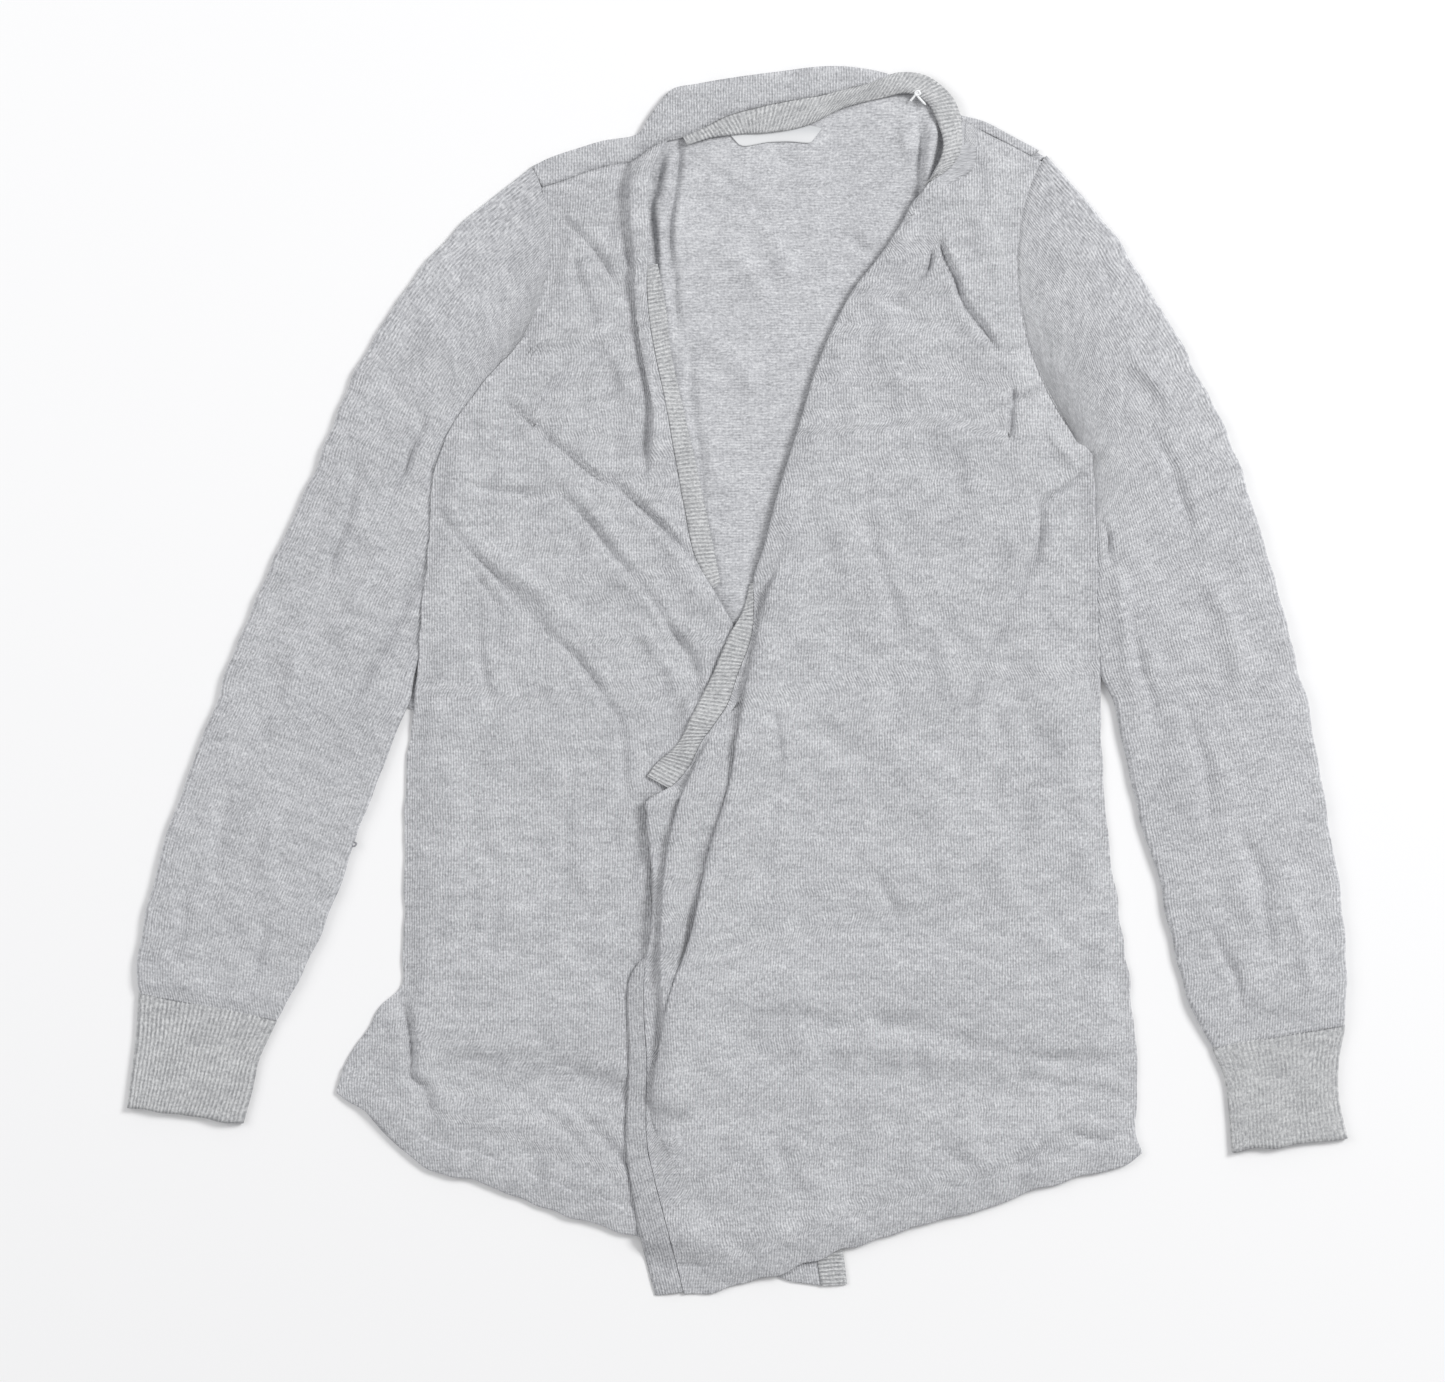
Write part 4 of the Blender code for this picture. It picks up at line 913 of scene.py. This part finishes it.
def front_side(side, seed):
    """A front's side: the armhole above the armpit, the slightly wavy side seam below it."""
    def at(y):
        seam = curve(SIDES[side], "y", "x")(y) + 1.2 * INWARDS[side] + 0.5 * ripple(y, 0 * y, 30, seed)
        return np.where(y > PIT[side], armhole(side, y) + 0.5 * INWARDS[side], seam)
    return at


right_points, from_hem = front_cloth(right_over, ground, PIT["right"], -8, right_hem, right_top,
                                     RIGHT_EDGE, front_side("right", 33), [RIGHT_PLEAT],
                                     RIGHT_CREASES, False, 34)
front_right = cloth("front_right_cloth", right_points, hem_wall(from_hem), (marl_jersey, marl_purl),
                    flat_flow(right_points))
lay(front_right, "front_right")

# The right front's band
# A strip of one by one rib, its ribs across it, linked to the slanting edge. Where the edge rolls
# under it hides, and its lower stretch lies beneath the left front down to the corner.
BANDS = {
    "band_neck": (
        ("sewn_x", "sewn_y", "sewn_z", "free_x", "free_y", "free_z"),
        (-37, 366.8, 4.6, -34, 361, 4.4), (-23, 373, 4.9, -18, 366, 4.2),
        (-5, 382, 4.9, 2, 368.5, 4), (25, 390, 4.9, 20, 369.5, 4), (58, 396, 4.8, 46, 374, 4.2),
        (87, 402.6, 4.6, 71, 386, 4.4), (108, 410, 4.6, 98, 393, 4.6), (127, 408, 4, 114, 396, 4.8),
        (142, 397, 4, 126, 391, 5), (149, 385, 4, 132, 383, 5.2), (152, 370, 4.2, 138, 365, 5.4),
        (151, 357, 4.6, 137, 353, 5.6), (145, 347.5, 5, 131, 339.5, 6), (132, 338, 6, 125, 333, 6.4)),
    "band_left_middle": (
        ("sewn_x", "sewn_y", "free_x", "free_y"),
        (10.4, 66, 8.6, 66), (10.2, 50, 4, 48), (8, 26, -6, 30), (-0.5, 4, -17, 4),
        (-11, -25, -30, -22), (-24, -41, -40, -42), (-36, -63, -54, -55), (-46, -72, -61, -64)),
    "band_left_low": (
        ("sewn_x", "sewn_y", "free_x", "free_y"),
        (-62.5, -186, -65.5, -188), (-63.5, -208, -74, -207), (-62.5, -256, -73, -256),
        (-61, -310, -75, -310), (-55.6, -341, -70, -349), (-46.6, -375, -64, -381),
        (-36.6, -412, -55.5, -414.4)),
    "band_right": (
        ("sewn_x", "sewn_y", "free_x", "free_y"),
        (-60, 279, -54, 281), (-59.4, 262, -50.5, 264), (-56.4, 242, -47.5, 245), (-52.4, 219, -45, 222),
        (-46.4, 189, -38, 189), (-41.4, 149, -29, 151), (-35.4, 117, -22, 118),
        (-27.4, 83, -15, 84), (-17, 62, -11.6, 66)),
    "band_right_low": (
        ("sewn_x", "sewn_y", "free_x", "free_y"),
        (2, 28, 16, 34), (7.6, -13, 24, -9), (18.6, -148, 36, -148), (38.6, -283, 56, -283),
        (50, -360, 67, -360), (54, -385, 71, -384), (56.6, -408, 74, -407)),
}
BAND_FINE = {"across": 13, "sample_mm": 0.5}


def columns_of(table, *names):
    """The table with only the named columns."""
    return (names,) + tuple(zip(*[column(table, name) for name in names]))


def band(name, pile, along=None, lift=0.3, fade=0.0, fall=2.0, relief=RIB_RELIEF):
    """A ribbed band on the pile. Its thickness is the rib's, plus a raised cosine of the walk along
    it, less at the linked edge and rounded off at the free one."""
    table_rows = BANDS[name]
    rough = sections(table_rows, 60)
    run = np.hypot(np.diff(rough["free_x"]), np.diff(rough["free_y"])).sum()
    count = int(run / BAND_FINE["sample_mm"])
    corners = columns_of(table_rows, "sewn_x", "sewn_y", "free_x", "free_y")
    points, walk = strip(corners, count, BAND_FINE["across"], pile, RIB, lift, along, fall)
    t = np.linspace(0, 1, BAND_FINE["across"])[None, :]
    if "sewn_z" in table_rows[0]:
        rows = sections(table_rows, count)
        hung = between(rows["sewn_z"][:, None], rows["free_z"][:, None], t)
        points[..., 2] = np.maximum(points[..., 2] - 9 * fading(t - 0.05, 0.15), hung)
    points[..., 2] += 0.5 * (4 * t * (1 - t)) ** 0.7 + 0.25 * ripple(points[..., 0], points[..., 1], 24, 41)
    strength = (1 - fade * (1 - t)) * ease(t / 0.15) * (1 if fade == 0 else ease(walk / 30)[:, None])
    thickness = (RIB + ribbed(walk, relief)[:, None] * strength) * (0.55 + 0.45 * ease(t / 0.1)) \
        * (1 - 0.55 * ease((t - 0.88) / 0.12))
    width = np.linalg.norm(points[:, -1] - points[:, 0], axis=1)[:, None]
    flow = np.dstack([np.broadcast_to(walk[:, None] + RIB_PITCH / 4, thickness.shape), t * width])
    return points, thickness, flow


under_left = {"over": Pile(right_over), "under": Pile(ground)}
for name in ("band_right", "band_right_low"):
    points, thickness, flow = band(name, right_over, right_points)
    piece = cloth(name + "_rib", points, thickness, (marl_rib,), flow)
    lay(piece, name)
    for pile in under_left.values():
        pile.press(points, thickness)
for pile in under_left.values():
    pile.press(right_points, hem_wall(from_hem))

# The left front
# The same piece mirrored, and it lies on top: its edge laps over the right front from the collar
# down, with two soft folds where the cloth is gathered up beside the band.
LEFT_EDGE = (
    ("y", "x", "rolled"), (-414, -36, 0), (-373, -46, 0), (-339, -55, 0), (-317, -60, 0),
    (-256, -61, 0), (-219, -63, 0), (-190, -62, 2), (-171, -58, 5), (-131, -57, 5),
    (-92, -60, 5), (-78, -58, 4), (-72, -46, 0), (-61, -35, 0), (-39, -23, 0), (-22, -10, 0),
    (7, 1, 0), (28, 9, 0), (54, 11, 0), (68, 11, 2), (86, 17, 5), (124, 27, 5), (169, 41, 5),
    (217, 56, 5), (244, 68, 5), (264, 79, 5), (287, 97, 5), (308, 111, 5), (328, 124, 5),
    (333, 131, 3), (341, 143, 0), (347, 149, 0), (366, 153, 0), (384, 153, 0))
LEFT_STRIP = (
    ("y", "x", "state"), (-414, -20, 0), (-310, -40, 0), (-255, -47, 0.15),
    (-215, -51, 0.32), (-182, -52, 0.5), (-160, -51, 0.66), (-131, -49, 0.9), (-100, -44, 1),
    (-79, -38, 1), (-61, -30, 0.7), (-39, -19, 0.2), (0, 6, 0), (60, 22, 0), (200, 62, 0), (384, 158, 0))
LEFT_PLEAT = (
    ("y", "x", "state"), (-414, 4, 0), (-340, -32, 0), (-290, -56, 0.2), (-275, -57, 0.6),
    (-252, -53, 0.9), (-214, -46, 1), (-174, -32, 1), (-115, -19, 1), (-68, -5, 1),
    (-38, 0, 1), (7, 8, 1), (28, 13, 0.9), (54, 19, 0.6), (75, 27, 0.2), (110, 40, 0),
    (200, 72, 0), (384, 166, 0))
LEFT_CREASES = (
    CREASE,
    (-22, -105, -57, -275, 2, 8, -2.2), (-8, -95, -42, -265, 2, 13, 1.6),
    (134, 299, 149, 260, 1, 4, -4.2), (149, 263, 177, 221, -2, 5, -3), (133, 294, 119, 264, 2, 4, -2.2),
    (176, 222, 227, 217, 2, 6, -2.8), (224, 218, 253, 205, -2, 6, -3), (250, 209, 278, 165, 4, 6, -2.4),
    (185, 198, 180, 160, 3, 4, -3), (189, 188, 219, 198, 3, 4, -2), (219, 195, 239, 152, 6, 4, -2.4),
    (239, 149, 204, 119, 3, 4, -4.6), (204, 120, 187, 55, 5, 6, -3.6), (187, 56, 152, -33, -3, 7, -1.6),
    (84, 148, 115, 28, -6, 9, -1.2), (24, -6, 27, -74, 3, 5, -1.8), (27, -74, 14, -134, 3, 7, -1.4),
    (5, -53, -12, -134, 2, 7, 1.2), (20, -223, 83, -229, -3, 17, -1.6),
    (76, -227, 170, -249, 3, 18, -2), (167, -248, 266, -257, -3, 15, -2.2),
    (177, -266, 265, -283, 3, 8, -1.2), (183, -327, 219, -304, -3, 6, -1.8),
    (219, -304, 262, -311, -2, 6, -1.6), (87, -125, 110, -163, 2, 6, -1.4),
    (68, -190, 104, -209, 2, 6, -1.2), (42, -30, 89, -57, 4, 14, -1.4), (197, 28, 231, -80, 6, 16, 1.6),
    (110, -53, 150, -148, 8, 18, 1.4), (56, 136, 76, 55, 5, 12, 1.2), (147, 176, 160, 109, 4, 10, 1.3),
    (204, 237, 238, 227, 2, 7, 2), (208, 169, 228, 142, 3, 5, 2.2), (96, 257, 110, 176, 5, 10, 1.2),
    (15, -283, 42, -371, 4, 12, -1), (110, -283, 177, -337, 5, 12, 1), (10, -200, 250, -228, 2, 34, 2.4),
    (20, -262, 255, -282, 2, 26, -2.4),
    (191, -134, 238, -202, 4, 14, -1), (150, 325, 184, 257, 6, 9, 1.2))

left_hem = wavy(curve(LEFT_HEM, "x", "y"), 0.8, 51)
left_top = through(np.array([-60.0, 100, 150, 165, 185, 198, 207]),
                   np.array([383.0, 383, 380, 370.6, 360.6, 353.6, 349]))
under_left["over"].press(sleeve_tubes["left"], JERSEY)
left_points, from_hem = front_cloth(under_left["over"], under_left["under"], PIT["left"], 2, left_hem,
                                    left_top, LEFT_EDGE, front_side("left", 53),
                                    [LEFT_STRIP, LEFT_PLEAT], LEFT_CREASES, True, 54)
front_left = cloth("front_left_cloth", left_points, hem_wall(from_hem), (marl_jersey, marl_purl),
                   flat_flow(left_points, from_right=True))
lay(front_left, "front_left")

# The left front's band
# The same ribbed strip. It shows where the edge comes out from under the roll, hides again under
# the lapped folds, and shows once more down to the corner, rolled so that only lines along it show.
# The rolled lower stretch takes the rolled knit, whose darker greys are painted shade.
for name, fall, relief, material in (("band_left_middle", 2.0, RIB_RELIEF, marl_rib),
                                     ("band_left_low", 1.0, 0.0, marl_rolled_painted_shade)):
    points, thickness, flow = band(name, under_left["over"], left_points, fall=fall, relief=relief)
    if relief == 0:
        flow = flow[..., ::-1]
    piece = cloth(name + "_rib", points, thickness, (material,), flow)
    lay(piece, name)

# The neck band
# The two bands meet in one round the neck. It hangs forward over the label and the inside of the
# back, and runs into the rolled edge of the left front.
collar = Pile(ground)
collar.press(label_points, LABEL_THICK)
collar.press(left_points, JERSEY)
neck_points, thickness, flow = band("band_neck", collar, lift=0.4, fade=0.9)
band_neck = cloth("band_neck_rib", neck_points, thickness, (marl_rib,), flow)
lay(band_neck, "band_neck")

# The stay tape's knot and the loose thread ends
# A thin white cotton tape keeps the shoulder from stretching; its knotted end peeps out at the
# neck. Two grey yarn ends stand out from the right sleeve's underarm seam.
KNOT = ((116, 390.5, 1.6), (118, 392.5, 2.2), (120, 395, 3.0), (122, 397, 3.6), (122.6, 395.4, 3.4),
        (120.4, 394.4, 3.2), (119.8, 396.4, 3.6), (121.8, 397.2, 4.0), (122.8, 395.4, 3.6),
        (121.4, 394, 2.8), (123.5, 391.5, 2.2), (127, 388, 1.6))
YARN_ENDS = (
    ((-259, -108, 3.4), (-260.5, -110, 4.2), (-258.5, -111.5, 4.4), (-257, -109.5, 4.0),
     (-259.5, -108.5, 3.6)),
    ((-242, -57, 3.4), (-241, -59, 4.2), (-243, -60.5, 4.4), (-243.5, -58.5, 4.0), (-241.5, -57.5, 3.6)),
)


def thread(name, route, radius, material, lift=0.0):
    """A round thread: circles carried along a smooth curve through the route's points, square to
    it, and drawn in to a blunt tip at both ends."""
    route = np.array(route, float)
    steps = np.arange(len(route), dtype=float)
    where = np.linspace(0, steps[-1], 12 * len(route))
    path = np.stack([through(steps, route[:, k])(where) for k in range(3)], 1)
    path[:, 2] += lift
    ahead = np.gradient(path, axis=0)
    ahead /= np.linalg.norm(ahead, axis=1, keepdims=True)
    level = np.cross(ahead, [0, 0, 1.0])
    level /= np.linalg.norm(level, axis=1, keepdims=True)
    above = np.cross(level, ahead)
    turn = np.linspace(0, 2 * np.pi, 10, endpoint=False)[None, :, None]
    tip = np.minimum(where, where[::-1])
    size = radius * np.sqrt(np.clip(tip / 0.3, 0.05, 1))[:, None, None]
    rings = path[:, None] + size * (np.cos(turn) * level[:, None] + np.sin(turn) * above[:, None])
    rows, columns = rings.shape[:2]
    index, quads = grid_faces(rows, columns, True)
    quads = quads[:, [0, 3, 2, 1]]
    mesh = bpy.data.meshes.new(name)
    caps = [index[0, :-1].tolist(), index[-1, :-1][::-1].tolist()]
    mesh.from_pydata((rings.reshape(-1, 3) * METRE).tolist(), [], quads.tolist() + caps)
    mesh.shade_smooth()
    mesh.materials.append(material)
    piece = put(name, mesh)
    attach(piece, "root")
    return piece


def spun_yarn(name, colour):
    """Spun yarn: matt, one colour, with the slight unevenness of its fibres."""
    material, tree, shader = new_material(name)
    place = node(tree, "TexCoord").outputs["Object"]
    fibre = node(tree, "TexNoise", Vector=place, Scale=1 / (0.8 * METRE), Detail=2.0).outputs["Fac"]
    bump = node(tree, "Bump", Height=fibre, Distance=0.3 * METRE).outputs[0]
    plug(tree, shader, Base_Color=linear(colour), Normal=bump, Roughness=0.9)
    return material


stay_tape = thread("shoulder_tape_knot", KNOT, 0.8, spun_yarn("white_cotton_tape", "#f1f2f3"),
                   lift=float(collar.height(np.array(121.0), np.array(395.0))) - 0.5)
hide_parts("shoulder_tape")
grey_yarn = spun_yarn("grey_yarn_end", "#8e8f93")
for number, route in enumerate(YARN_ENDS):
    thread("yarn_end_%d" % (number + 1), route, 0.6, grey_yarn)
